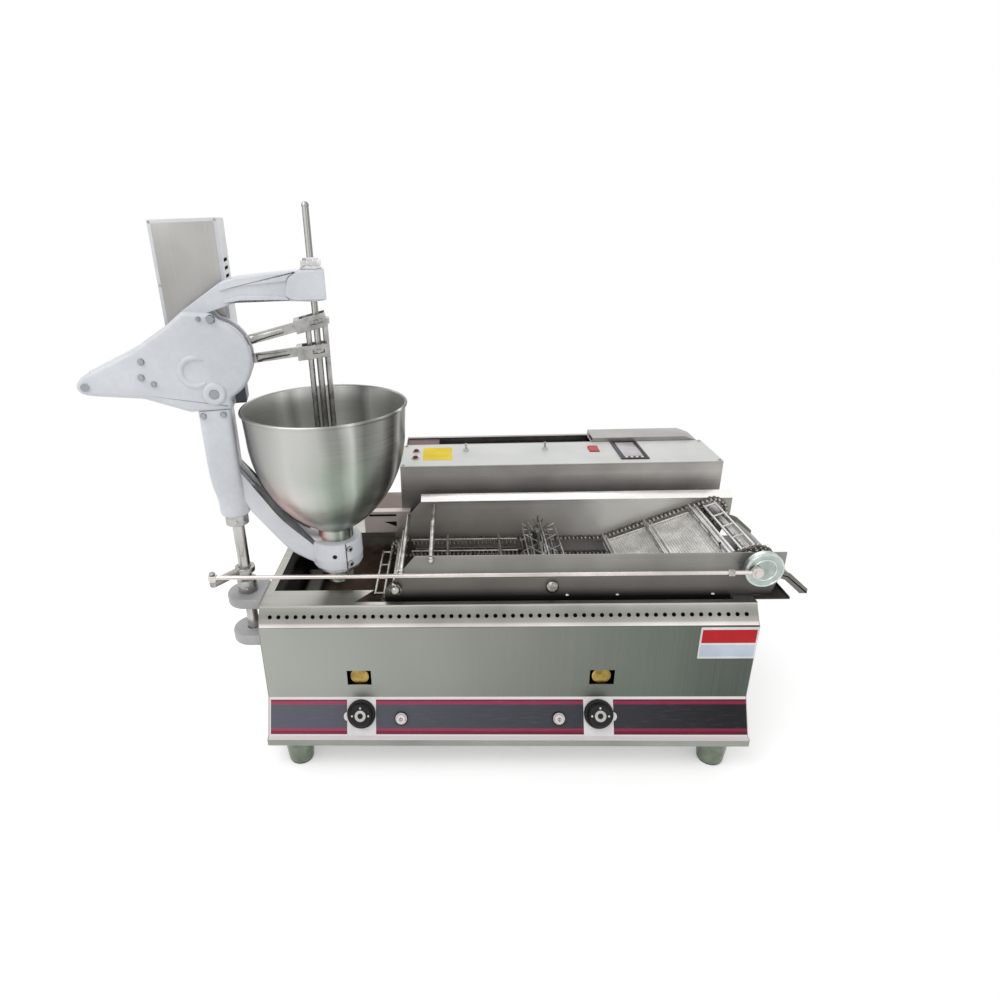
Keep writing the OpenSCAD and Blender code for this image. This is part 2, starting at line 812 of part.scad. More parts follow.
module cap_nut(x, z, y, r) translate([x, y, z]) rotate([90, 0, 0]) {
  cylinder(r = r, h = r * cap_h_share, $fn = 6);
  intersection() {
    translate([0, 0, r * cap_h_share]) sphere(r = r * cap_dome_share);
    cylinder(r = r, h = 2 * r * cap_h_share);
  }
}

module tie_rods() color("gainsboro") at_cabinet()
  for (i = [0:len(tie_ins) - 1]) {
    tip = tie_cap_rs[i] * cap_h_share;
    bar_y(infeed_x + tie_ins[i], deck_z + tie_zs[i], lane_front - tip, lane_end - lane_front + tip, tie_d);
    cap_nut(infeed_x + tie_ins[i], deck_z + tie_zs[i], lane_front, tie_cap_rs[i]);
  }

module chains() color("dimgray") at_cabinet()
  for (y = [chain_front, chain_rear])
    upright(y, chain_t) difference() {
      polygon(chain_loop(chain_h));
      polygon(chain_loop(-chain_h));
    }

// One wire flight standing on the chains, its height along z
module flight() {
  flight_l = chain_rear - chain_front - chain_t - 2 * flight_gap;
  flight_y = chain_front + chain_t + flight_gap;
  bar_y(0, 0, flight_y, flight_l, flight_d);
  bar_y(0, flight_rise, flight_y + flight_rise, flight_l - 2 * flight_rise, flight_d);
  flight_in = flight_rise + flight_d;
  for (i = [0:flight_bars])
    translate([0, flight_y + flight_in + (flight_l - 2 * flight_in) * i / flight_bars, 0])
      cylinder(d = flight_d * flight_share, h = flight_rise);
}

module flights() color("gainsboro") at_cabinet() {
  for (s = upper_flight_shares)
    translate([infeed_x + (foot_x - infeed_x) * s, 0, strand_z]) flight();
  for (s = lower_flight_shares)
    translate([infeed_x + (foot_x - infeed_x) * s, 0, strand_z - 2 * infeed_r]) rotate([0, 180, 0]) flight();
  translate([foot_x, 0, strand_z]) rotate([0, -climb, 0]) {
    for (s = climb_flight_shares) translate([climb_l * s, 0, 0]) flight();
    for (s = return_flight_shares) translate([climb_l * s, 0, -2 * chain_r]) rotate([0, 180, 0]) flight();
  }
  translate([infeed_x, 0, infeed_z]) rotate([0, -90, 0]) translate([0, 0, infeed_r]) flight();
}

module incline_plate() color("gray") at_cabinet()
  translate([foot_x, 0, strand_z]) rotate([0, -climb, 0]) translate([0, 0, -grid_drop]) {
    translate([0, chain_front + chain_t + grid_gap, 0])
      cube([climb_l * grid_end_share, chain_rear - chain_front - chain_t - 2 * grid_gap, grid_t]);
    for (s = grid_bar_shares)
      translate([climb_l * s - grid_bar / 2, lane_in, -grid_t]) cube([grid_bar, lane_w, grid_t]);
  }

module exit_chute() color("silver") at_cabinet() {
  upright(lane_in, lane_w)
    polygon(folded([
      [chute_end, deck_z + chute_low], [chute_x, deck_z + chute_z]], chute_t));
  for (y = [lane_in, lane_out - chute_t])
    upright(y, chute_t)
      polygon([
        [chute_x - chute_in, deck_z + chute_in], [chute_x - chute_in, deck_z + chute_z],
        [chute_x + chute_wall / 2, deck_z + chute_z + chute_wall], [chute_end, deck_z + chute_low + chute_wall],
        [chute_end, deck_z + chute_low], [chute_end - chute_foot, deck_z - chute_wall],
        [chute_x + chute_wall, deck_z - chute_wall]]);
}

module lug(low, h) at_cabinet() translate([0, 0, deck_z + low]) difference() {
  intersection() {
    union() {
      translate([post_x, post_y, 0]) cylinder(r = lug_r, h = h);
      translate([post_x, post_y - lug_r, 0]) cube([post_out, 2 * lug_r, h]);
    }
    translate([post_x - lug_r, post_y - lug_r, 0]) cube([lug_r + post_out, 2 * lug_r, h]);
  }
  translate([post_x, post_y, -over]) cylinder(d = post_d + 2 * shaft_gap, h = h + 2 * over);
}

module upper_bracket() color("lightgray") lug(upper_lug_low, upper_lug_h);

module lower_bracket() color("lightgray") lug(lower_lug_low, lower_lug_h);

module post() color("gainsboro") at_head()
  translate([0, 0, post_low]) cylinder(d = post_d, h = post_top - post_low);

module collar(z, d, h) translate([0, 0, z]) difference() {
  union() {
    cylinder(d = d, h = h);
    translate([0, 0, h / 2]) rotate([90, 0, 0]) cylinder(d = screw_d, h = d / 2 + screw_out);
  }
  translate([0, 0, -over]) cylinder(d = post_d + 2 * shaft_gap, h = h + 2 * over);
}

module post_collars() color("silver") at_head() {
  collar(upper_lug_low + upper_lug_h + slide_gap, low_collar_d, low_collar_h);
  collar(high_collar_low, high_collar_d, boss_z - high_collar_low);
}

module swing_lever() color("silver") at_cabinet() translate([post_x, post_y, deck_z + lever_z]) {
  difference() {
    union() {
      cylinder(r = hub_r, h = lever_t);
      rotate([0, 0, lever_turn]) translate([0, -lever_w / 2, 0]) cube([lever_l, lever_w, lever_t]);
      translate([lever_dx, lever_dy, 0]) cylinder(d = lever_w, h = lever_t);
    }
    translate([0, 0, -over]) cylinder(d = post_d + 2 * shaft_gap, h = lever_t + 2 * over);
  }
  translate([lever_dx, lever_dy, lever_t]) cylinder(d = bolt_d, h = eye_h + 2 * slide_gap);
  translate([lever_dx, lever_dy, lever_t + eye_h + 2 * slide_gap])
    cylinder(d = bolt_head_d, h = bolt_head_h, $fn = 6);
}

module connecting_rod() color("gainsboro") at_cabinet() difference() {
  union() {
    bar_x(rod_left, rod_y, rod_z, drive_x + crank_dx - rod_left, rod_d);
    translate([rod_left, rod_y, rod_low]) cylinder(d = eye_d, h = eye_h);
    bar_y(drive_x + crank_dx, rod_z, rod_y - end_t / 2, end_t, end_d);
    translate([drive_x + crank_dx, rod_y - end_t / 2, rod_z]) rotate([90, 0, 0])
      cylinder(d = end_bolt_d, h = end_bolt_h, $fn = 6);
  }
  translate([rod_left, rod_y, rod_low - over]) cylinder(d = bolt_d + 2 * shaft_gap, h = eye_h + 2 * over);
}

module drive_shaft() color("gainsboro") at_cabinet() {
  shaft_y = crank_face + crank_t / 2;
  bar_y(drive_x, drive_z, shaft_y, box_front + gearbox_front + gear_bore_l - shaft_y, drive_d);
  for (y = [chain_front, chain_rear]) bar_y(drive_x, drive_z, y, chain_t, 2 * sprocket_r);
  bar_y(drive_x, drive_z, lane_end + flange_w + coupling_front, coupling_l, coupling_d);
}

module crank_disc() color("lightgray") at_cabinet() difference() {
  union() {
    bar_y(drive_x, drive_z, crank_face, crank_t, 2 * crank_r);
    bar_y(drive_x + crank_dx, rod_z, crank_face - pin_out, pin_out + crank_t / 2, pin_d);
  }
  bar_y(drive_x, drive_z, crank_face + crank_t / 2, crank_t, drive_d + 2 * shaft_gap);
}

module infeed_shaft() color("gainsboro") at_cabinet() {
  axle_l = lane_end - lane_front + 2 * axle_out;
  bar_y(infeed_x, infeed_z, lane_front - axle_out, axle_l, infeed_d - 2 * axle_out);
  bar_y(infeed_x, infeed_z, lane_in + axle_out, lane_w - 2 * axle_out, infeed_d);
  for (y = [chain_front, chain_rear]) bar_y(infeed_x, infeed_z, y, chain_t, 2 * infeed_sprocket_r);
}

module flipper() color("gainsboro") at_cabinet() {
  tip = axle_cap_r * cap_h_share;
  bar_y(flipper_x, flipper_z, lane_front - tip, lane_end - lane_front + tip, axle_d);
  cap_nut(flipper_x, flipper_z, lane_front - slide_gap, axle_cap_r);
  for (y = [lane_in + paddle_in, lane_out - paddle_in - hub_l]) bar_y(flipper_x, flipper_z, y, hub_l, hub_d);
  translate([flipper_x, lane_in + paddle_in, flipper_z])
    for (i = [0:paddle_n - 1]) rotate([0, 360 / paddle_n * i, 0])
      translate([-paddle_t / 2, 0, 0]) cube([paddle_t, lane_w - 2 * paddle_in, flipper_r]);
}

module gas_knob(x) at_strip(x, knob_up_share) translate([0, 0, seat_gap]) {
  cylinder(d = knob_d, h = knob_skirt_h);
  cylinder(d = knob_d * knob_grip_share, h = knob_h);
  translate([0, 0, -valve_stem]) cylinder(d = stem_d, h = valve_stem + knob_h / 2);
}

module gas_knob_left() color("black") gas_knob(left_knob_x);

module gas_knob_right() color("black") gas_knob(right_knob_x);

module igniter_button(x) at_strip(x, button_up_share)
  translate([0, 0, button_out + bezel_h - button_l]) cylinder(d = button_d, h = button_l);

module igniter_button_left() color("white") igniter_button(left_button_x);

module igniter_button_right() color("white") igniter_button(right_button_x);

module power_switch() color("red") at_cabinet() translate([switch_x, switch_y, box_top])
  translate([-switch_w / 2, 0, 0]) rotate([90, 0, 90]) linear_extrude(switch_w)
    polygon([
      [-switch_d / 2, -switch_in], [switch_d / 2, -switch_in], [switch_d / 2, switch_in],
      [0, switch_in / 2], [-switch_d / 2, switch_in / 2]]);

module toggle(x) at_cabinet() translate([x, toggle_y, box_top + toggle_h / 2]) {
  sphere(d = toggle_hole_d - 2 * slide_gap);
  cylinder(d = lever_d, h = lever_len);
}

module toggle_left() color("silver") toggle(toggle_left_x);

module toggle_right() color("silver") toggle(toggle_right_x);

module bill_outline() {
  polygon(scaled(bill_shares, bill_l, housing_r));
  circle(r = housing_r);
  translate([-bill_l, -tip_drop]) circle(r = tip_r);
}

module head_column() color("lightsteelblue") at_head() difference() {
  union() {
    translate([column_u - column_w / 2, -column_d / 2, column_low])
      cube([column_w, column_d, seam_z - column_low]);
    translate([0, 0, boss_z + boss_taper]) cylinder(d = column_w, h = column_low - boss_z + boss_h);
    translate([0, 0, boss_z]) cylinder(d1 = column_w - 2 * boss_taper, d2 = column_w, h = boss_taper);
    translate([0, 0, ring_z]) upright(-limb_d / 2, limb_d) polygon(scaled(limb_shares, reach, ring_h));
    translate([reach, 0, ring_z]) cylinder(r = ring_r, h = ring_h);
  }
  translate([reach, 0, ring_z - over]) cylinder(r = neck_r + slide_gap, h = 2 * ring_h);
  translate([0, 0, boss_z - over])
    cylinder(d = post_d + 2 * shaft_gap, h = post_top - boss_z + over + seat_gap);
}

module head_frame() color("lightsteelblue") at_head() translate([0, 0, head_z]) difference() {
  union() {
    upright(half_gap, cast_t) bill_outline();
    upright(-half_gap, gap_w) polygon(folded(scaled(roof_shares, bill_l, housing_r), -wall_t));
    upright(-half_gap, gap_w) polygon(folded(scaled(sole_shares, bill_l, housing_r), -wall_t));
    upright(-half_gap, gap_w + cast_t) polygon(scaled(arm_shares, reach, arm_high));
    translate([reach, 0, arm_low]) cylinder(d = arm_boss_d, h = arm_high - arm_low);
  }
  translate([reach, 0, arm_low - over])
    cylinder(d = centre_d + 2 * shaft_gap, h = arm_high - arm_low + 2 * over);
  bar_y(0, -cam_drop, half_gap - over, cast_t + 2 * over, cam_d + 2 * shaft_gap);
  bar_y(-bill_l, -tip_drop, half_gap - over, cast_t + 2 * over, pivot_d + 2 * shaft_gap);
}

module head_cover() color("lightsteelblue") at_head() translate([0, 0, head_z]) difference() {
  union() {
    upright(-head_half, cast_t) bill_outline();
    bar_y(0, -cam_drop, -head_half - boss_out, boss_out + cast_t, 2 * boss_r);
    difference() {
      bar_y(rib_u, rib_z, -head_half - rib_out, rib_out + cast_t, 2 * rib_r);
      bar_y(rib_u, rib_z, -head_half - rib_out - over, rib_out + over, 2 * rib_r - 2 * rib_t);
      translate([rib_u, -head_half - rib_out - over, rib_z - rib_cut])
        cube([2 * rib_r, rib_out + over, 2 * rib_cut]);
    }
  }
  bar_y(0, -cam_drop, -head_half - boss_out - over, cast_t + boss_out + 2 * over, cam_d + 2 * shaft_gap);
  bar_y(-bill_l, -tip_drop, -head_half - over, cast_t + 2 * over, pivot_d + 2 * shaft_gap);
}

module cover_screws() color("gray") at_head() translate([0, 0, head_z]) {
  for (i = [0:len(screw_us) - 1])
    bar_y(screw_us[i], screw_zs[i], -head_half - screw_h, screw_h, screw_ds[i]);
  for (u = seam_us) bar_y(u, -seam_drop - seam_drop_z, -column_d / 2 - screw_h, screw_h, screw_ds[0]);
  bar_y(stud_u, stud_z, -head_half - stud_h, stud_h, stud_d);
}

module pivot_pin() color("gray") at_head() translate([0, 0, head_z])
  bar_y(-bill_l, -tip_drop, -head_half - pivot_out, 2 * head_half + pivot_out, pivot_d);

module hopper() color("whitesmoke") at_hopper() rotate_extrude() {
  intersection() {
    translate([bowl_r - bowl_arc, bowl_z]) difference() {
      circle(r = bowl_arc);
      circle(r = bowl_arc - hopper_t);
    }
    translate([neck_r - hopper_t, bowl_z - bowl_arc]) square([bowl_r, bowl_arc]);
  }
  polygon([
    [bowl_r - hopper_t, bowl_z], [bowl_r, bowl_z], [bowl_r + flare, rim_z],
    [bowl_r + flare - hopper_t, rim_z]]);
  translate([bowl_r + flare, rim_z]) circle(r = bead_r);
  translate([neck_r - hopper_t, ring_z + seat_gap])
    square([hopper_t, neck_top + hopper_t - ring_z - seat_gap]);
}

module nozzle() color("gainsboro") at_hopper() difference() {
  union() {
    translate([0, 0, ring_z - nozzle_flange_h]) cylinder(d = nozzle_flange_d, h = nozzle_flange_h);
    translate([0, 0, ring_z - nozzle_drop]) cylinder(r = nozzle_r + nozzle_t, h = nozzle_drop);
  }
  translate([0, 0, ring_z - nozzle_drop - over]) cylinder(r = nozzle_r, h = nozzle_drop + 2 * over);
}

module head_gearmotor() color("slategray") at_head() difference() {
  union() {
    translate([-gear_w / 2, head_half, head_z + gear_low]) cube([gear_w, gear_d, gear_h]);
    translate([0, head_half + gear_d - stator_back, head_z + gear_low + gear_h])
      cylinder(d = stator_neck_d, h = motor_box_t + stator_neck_gap);
    translate([stator_u, head_half + box_gap + motor_box_d / 2, head_z + gear_low + gear_h])
      translate([0, 0, motor_box_t + seat_gap]) cylinder(d = stator_d, h = stator_h);
  }
  translate([0, 0, head_z]) bar_y(0, -cam_drop, head_half - over, shaft_in + over, cam_d + 2 * shaft_gap);
}

module motor_box() color("white") at_head()
  translate([box_u, head_half + box_gap, head_z + gear_low + gear_h]) difference() {
    cube([motor_box_w, motor_box_d, motor_box_h]);
    translate([motor_box_t, -over, motor_box_t])
      cube([motor_box_w - 2 * motor_box_t, motor_box_d + over - motor_box_t, motor_box_h - 2 * motor_box_t]);
    translate([-box_u, gear_d - stator_back - box_gap, -over])
      cylinder(d = stator_neck_d + 2 * slide_gap, h = motor_box_t + 2 * over);
    for (i = [0:louvre_n - 1])
      translate([motor_box_w - motor_box_t - over, (motor_box_d - louvre_l) / 2, louvre_low + i * louvre_pitch])
        cube([motor_box_t + 2 * over, louvre_l, louvre_w]);
  }

module motor_box_cover() color("silver") at_head()
  translate([box_u, head_half + box_gap - motor_box_t, head_z + gear_low + gear_h])
    cube([motor_box_w, motor_box_t, motor_box_h]);

module camshaft() color("gray") at_head() translate([0, 0, head_z - cam_drop]) {
  bar_y(0, 0, -head_half - boss_out, head_half + boss_out + head_half + shaft_in - seat_gap, cam_d);
  for (y = [-rocker_in - rocker_t, rocker_in]) bar_y(0, -cam_offset, y, rocker_t, 2 * cam_lobe_r);
}

// One rocker from its pivot at the tip to the slots round a yoke, l long and raised by rise, in the layer at y
module rocker(rise, l, y) translate([0, 0, head_z]) {
  upright(y, rocker_t) difference() {
    union() {
      translate([-bill_l, -tip_drop]) rotate(rise) {
        circle(r = tip_boss_r);
        translate([0, -rocker_h / 2]) square([rocker_out, rocker_h]);
        translate([rocker_out - over, -rocker_bar_h / 2])
          square([l - yoke_gap - rocker_out + over - bridge_l / 2, rocker_bar_h]);
      }
      translate([0, nose_z]) circle(r = nose_r);
      translate([-nose_w / 2, nose_z]) square([nose_w, bill_l * tan(rise) - tip_drop - nose_z]);
    }
    translate([-bill_l, -tip_drop]) circle(d = pivot_d + 2 * shaft_gap);
  }
  translate([-bill_l, 0, -tip_drop]) rotate([0, -rise, 0]) difference() {
    translate([l - yoke_gap - bridge_l, -tine_out, -tine_h / 2])
      cube([yoke_gap + bridge_l + tine_l, 2 * tine_out, tine_h]);
    translate([l - yoke_gap, -tine_in, -tine_h]) cube([yoke_gap + tine_l + over, 2 * tine_in, 2 * tine_h]);
    translate([l - slot_l / 2, -tine_out - over, -slot_h / 2])
      cube([slot_l, 2 * tine_out + 2 * over, slot_h]);
  }
}

module upper_rocker() color("gainsboro") at_head() rocker(upper_rise, upper_l, -rocker_in - rocker_t);

module lower_rocker() color("gainsboro") at_head() rocker(lower_rise, lower_l, rocker_in);

// A yoke block with its two side pins
module yoke(half_u) {
  translate([-half_u, -yoke_w / 2, -yoke_h / 2]) cube([2 * half_u, yoke_w, yoke_h]);
  bar_y(0, 0, -yoke_w / 2 - trunnion_out, yoke_w + 2 * trunnion_out, trunnion_d);
}

module cutter_plunger() color("gainsboro") at_hopper() difference() {
  union() {
    translate([0, 0, head_z + lift_up]) yoke(cutter_yoke_u);
    for (u = [-cutter_rod_u, cutter_rod_u])
      translate([u, 0, cutter_low + cutter_h])
        cylinder(d = cutter_rod_d, h = head_z + lift_up - cutter_low - cutter_h);
    translate([-cutter_out + cutter_t / 2, -spider_w / 2, cutter_low + cutter_h])
      cube([2 * cutter_out - cutter_t, spider_w, spider_h]);
    difference() {
      translate([0, 0, cutter_low]) cylinder(r = cutter_out, h = cutter_h);
      translate([0, 0, cutter_low - over]) cylinder(r = cutter_r, h = cutter_h + 2 * over);
    }
  }
  translate([0, 0, cutter_low + cutter_h - over]) cylinder(d = centre_d + 2 * slide_gap, h = head_z);
}

module metering_plunger() color("gainsboro") at_hopper() difference() {
  union() {
    translate([0, 0, head_z + lift_low]) yoke(meter_yoke_u);
    for (y = [-meter_rod_y, meter_rod_y])
      translate([0, y, piston_low]) cylinder(d = meter_rod_d, h = head_z + lift_low - piston_low);
    translate([0, 0, piston_low]) cylinder(r = piston_r, h = piston_h);
  }
  translate([0, 0, piston_low - over]) cylinder(d = centre_d + 2 * slide_gap, h = head_z + piston_h);
}

module centre_rod() color("gainsboro") at_hopper() {
  translate([0, 0, former_low]) cylinder(r = former_r, h = former_h);
  translate([0, 0, former_low]) cylinder(d = centre_d, h = head_z + rod_top - former_low);
  translate([0, 0, head_z + rod_top]) sphere(r = ball_r);
}

module lock_knob() color("dimgray") at_hopper() translate([0, 0, head_z + arm_high + slide_gap]) difference() {
  cylinder(d = lock_d, h = lock_h);
  translate([0, 0, -over]) cylinder(d = centre_d + 2 * slide_gap, h = lock_h + 2 * over);
}

feet();
bottom_tray();
left_panel();
right_panel();
rear_panel();
front_panel();
vent_rail();
control_strip();
oil_tank();
burners();
gas_manifold();
gas_valves();
igniter_bodies();
control_box();
control_panel();
display_bezel();
indicator_lamps();
flue();
conveyor_motor();
front_plate();
rear_plate();
tie_rods();
chains();
flights();
incline_plate();
exit_chute();
upper_bracket();
lower_bracket();
post();
post_collars();
swing_lever();
head_column();
head_frame();
head_cover();
cover_screws();
pivot_pin();
hopper();
nozzle();
head_gearmotor();
motor_box();
motor_box_cover();
camshaft();
upper_rocker();
lower_rocker();
cutter_plunger();
metering_plunger();
centre_rod();
lock_knob();
connecting_rod();
drive_shaft();
crank_disc();
infeed_shaft();
flipper();
gas_knob_left();
gas_knob_right();
igniter_button_left();
igniter_button_right();
power_switch();
toggle_left();
toggle_right();
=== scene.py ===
import json
import math
import bpy
import bmesh
from mathutils import Matrix, Vector


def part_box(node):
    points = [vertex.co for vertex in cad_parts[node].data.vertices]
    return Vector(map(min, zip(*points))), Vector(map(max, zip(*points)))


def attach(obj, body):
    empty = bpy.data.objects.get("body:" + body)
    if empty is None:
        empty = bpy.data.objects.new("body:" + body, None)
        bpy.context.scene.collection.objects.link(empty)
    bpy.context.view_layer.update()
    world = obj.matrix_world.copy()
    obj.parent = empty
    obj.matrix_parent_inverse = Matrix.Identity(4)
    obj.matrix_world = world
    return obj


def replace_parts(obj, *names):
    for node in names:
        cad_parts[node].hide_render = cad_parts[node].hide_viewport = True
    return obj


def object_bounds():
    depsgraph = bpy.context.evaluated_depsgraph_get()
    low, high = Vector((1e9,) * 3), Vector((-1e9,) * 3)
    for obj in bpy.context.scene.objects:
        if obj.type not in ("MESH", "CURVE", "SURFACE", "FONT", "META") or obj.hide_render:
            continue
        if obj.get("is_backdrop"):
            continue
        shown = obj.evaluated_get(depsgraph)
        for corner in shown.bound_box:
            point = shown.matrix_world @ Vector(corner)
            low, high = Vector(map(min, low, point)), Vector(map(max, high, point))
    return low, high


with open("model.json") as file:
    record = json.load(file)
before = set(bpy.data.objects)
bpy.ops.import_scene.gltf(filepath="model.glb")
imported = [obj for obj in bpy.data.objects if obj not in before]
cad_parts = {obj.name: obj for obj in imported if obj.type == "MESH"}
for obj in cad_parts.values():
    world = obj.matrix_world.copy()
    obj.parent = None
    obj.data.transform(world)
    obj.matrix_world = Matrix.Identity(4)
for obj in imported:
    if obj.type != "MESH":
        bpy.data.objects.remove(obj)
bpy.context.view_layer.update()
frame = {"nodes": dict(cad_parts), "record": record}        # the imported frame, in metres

nodes = frame["nodes"]
bodyOf = {n: b for b, ns in frame["record"]["behaviour"]["bodies"].items() for n in ns}
site = {"halfWidth": 0.415, "setBack": 0.038, "post": (-446, 70, 302), "headTurn": 12, "hopperReach": 162,
        "stripOut": 30, "stripRise": 60, "stripLow": 67.25}


def at(x, y, z, turn=0, axis="X"):  # a place, turned by degrees about one axis
    return Matrix.Translation((x, y, z)) @ Matrix.Rotation(math.radians(turn), 4, axis)


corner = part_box("left_panel")[0]  # the cabinet's own corner gives the shift into the row frame
shift = Matrix.Translation((corner.x + site["halfWidth"], corner.y + site["setBack"], 0))
cabinet = shift @ Matrix.Scale(0.001, 4)
head = cabinet @ at(*site["post"], site["headTurn"], "Z")
hopperAxis = head @ at(site["hopperReach"], 0, 0)


def onStrip(x, share):  # z points out of the sloping strip
    out, rise = site["stripOut"], site["stripRise"]
    tilt = math.degrees(math.atan2(out, rise))
    return cabinet @ at(x, -out * (1 - share), site["stripLow"] + rise * share, 90 - tilt)


def upright(y):  # x stays, an outline's y goes up, and z comes to the front of the head
    return head @ at(0, y, 412, 90)


def polar(r, a, x=0, y=0):  # a point at radius r and angle a round x, y
    return x + r * math.cos(a), y + r * math.sin(a)


def turns(count):  # even angles all the way round
    return [2 * math.pi * i / count for i in range(count)]


def tone(r, g, b):  # a colour as the eye reads it, turned into what a socket takes
    f = lambda c: c / 12.92 if c <= 0.04045 else ((c + 0.055) / 1.055) ** 2.4
    return tuple(f(v / 255) for v in (r, g, b)) + (1,)


class Val:  # a shader socket that can stand in a sum
    def __init__(self, finish, socket):
        self.finish, self.socket = finish, socket

    def __add__(self, o): return self.finish.sum("ADD", self, o)
    def __sub__(self, o): return self.finish.sum("SUBTRACT", self, o)
    def __mul__(self, o): return self.finish.sum("MULTIPLY", self, o)
    def __truediv__(self, o): return self.finish.sum("DIVIDE", self, o)
    def __gt__(self, o): return self.finish.sum("GREATER_THAN", self, o)
    def __lt__(self, o): return self.finish.sum("LESS_THAN", self, o)


class Finish:  # one material, or the world, and its nodes
    def __init__(self, name, owner=None):
        self.material = owner or bpy.data.materials.new(name)
        self.material.use_nodes = True
        self.tree = self.material.node_tree
        self.tree.nodes.clear()
        self.spot = None

    def add(self, kind, settings=None, feeds=None, take=0):
        node = self.tree.nodes.new(kind)
        for key, value in (settings or {}).items():
            if key == "stops":
                ramp = node.color_ramp
                while len(ramp.elements) < len(value):
                    ramp.elements.new(0.5)
                for e, (place, colour) in zip(ramp.elements, value):
                    e.position, e.color = place, tone(*colour)
            else:
                setattr(node, key, value)
        for key, value in (feeds or {}).items():
            if isinstance(value, Val):
                self.tree.links.new(value.socket, node.inputs[key])
            elif value is not None:
                node.inputs[key].default_value = value
        return Val(self, node.outputs[take]) if node.outputs else None

    def sum(self, op, a, b=None):
        return self.add("ShaderNodeMath", {"operation": op}, {0: a, 1: b})

    def vector(self, op, a, b=None, take=0):
        return self.add("ShaderNodeVectorMath", {"operation": op}, {0: a, 1: b}, take)

    def place(self):
        if self.spot is None:
            self.spot = self.add("ShaderNodeTexCoord", take="Object")
        return self.spot

    def axis(self, name, spot=None):
        return self.add("ShaderNodeSeparateXYZ", None, {0: spot or self.place()}, name)

    def noise(self, scale, detail=3, rough=0.55):
        scale = scale if isinstance(scale, tuple) else (scale,) * 3
        return self.add("ShaderNodeTexNoise", None, {"Vector": self.vector("MULTIPLY", self.place(), scale),
                                                     "Scale": 1, "Detail": detail, "Roughness": rough})

    def spread(self, v, low, high, to=(0, 1)):  # a value from low..high onto to, held inside it
        return self.add("ShaderNodeMapRange", None, {0: v, 1: low, 2: high, 3: to[0], 4: to[1]})

    def mix(self, share, a, b, kind="MIX"):
        a, b = (tone(*c) if isinstance(c, tuple) and len(c) == 3 else c for c in (a, b))
        return self.add("ShaderNodeMix", {"data_type": "RGBA", "blend_type": kind}, {0: share, 6: a, 7: b}, 2)

    def ramp(self, v, stops):
        return self.add("ShaderNodeValToRGB", {"stops": stops}, {0: v})

    def bump(self, height, strength, distance=0.0002):
        return self.add("ShaderNodeBump", None, {"Height": height, "Strength": strength, "Distance": distance})

    def paint(self, **sockets):
        feeds = {k.replace("_", " "): v for k, v in sockets.items()}
        self.close(self.add("ShaderNodeBsdfPrincipled", None, feeds))
        return self.material

    def close(self, shader, kind="ShaderNodeOutputMaterial"):
        self.add(kind, None, {"Surface": shader})


print("finishes")
grainOf = {"x": (3, 900, 900), "z": (900, 900, 3)}


def brushed(name, light, dark, run="x", metal=1.0):
    f = Finish(name)
    grain, cloud, wear = f.noise(grainOf[run], 2), f.noise(7), f.noise(60, 4)
    share = grain * 0.35 + cloud * 0.9 - 0.12 + wear * 0.075
    return f.paint(Base_Color=f.mix(f.spread(share, 0.2, 0.85), dark, light), Metallic=metal,
                   Roughness=f.spread(grain + wear * 0.4, 0.3, 1.1, (0.26, 0.44)), Normal=f.bump(grain, 0.05))


def panelSteel():  # painted reflection: lighter at the left end and darker at the right, with faint dents of reflected light
    f = Finish("panelSteel")
    grain, cloud = f.noise(grainOf["z"], 2), f.noise((6, 3, 3), 2)
    x = f.spread(f.axis("X") + (cloud - 0.5) * 0.16, -0.35, 0.49)
    base = f.ramp(x, [(0, (172, 174, 168)), (0.3, (152, 155, 148)), (0.58, (126, 130, 122)),
                      (0.82, (100, 110, 100)), (1, (74, 82, 75))])
    base = f.mix(f.spread(grain, 0.25, 0.75, (0, 0.08)), base, (205, 206, 200))
    return f.paint(Base_Color=base, Metallic=0.75, Roughness=f.spread(grain, 0.2, 0.8, (0.42, 0.54)),
                   Normal=f.bump(grain, 0.04))


def graded(name, rows, rough=0.32, metal=1.0, glow=None):  # brushed sheet whose tone changes with height, as painted light and shade
    f = Finish(name)
    grain, cloud = f.noise(grainOf["x"], 2), f.noise(9)
    low, high = rows[0][0], rows[-1][0]
    base = f.ramp(f.spread(f.axis("Z"), low, high), [((h - low) / (high - low), c) for h, c in rows])
    shade = f.mix(f.spread(cloud + grain * 0.35, 0.45, 0.95), (214, 213, 211), (255, 255, 255))
    base = f.mix(1.0, base, shade, "MULTIPLY")
    if glow:  # a painted highlight: a lighter stretch between two places along x
        x = f.axis("X") - cabinet.translation.x + (cloud - 0.5) * 0.1
        lit = f.spread(x, glow[0], glow[0] + 0.16) * f.spread(x, glow[1] + 0.1, glow[1]) * 0.75
        base = f.mix(lit, base, (240, 239, 235))
    return f.paint(Base_Color=base, Metallic=metal, Normal=f.bump(grain, 0.05),
                   Roughness=f.spread(grain, 0.2, 0.8, (rough - 0.06, rough + 0.08)))


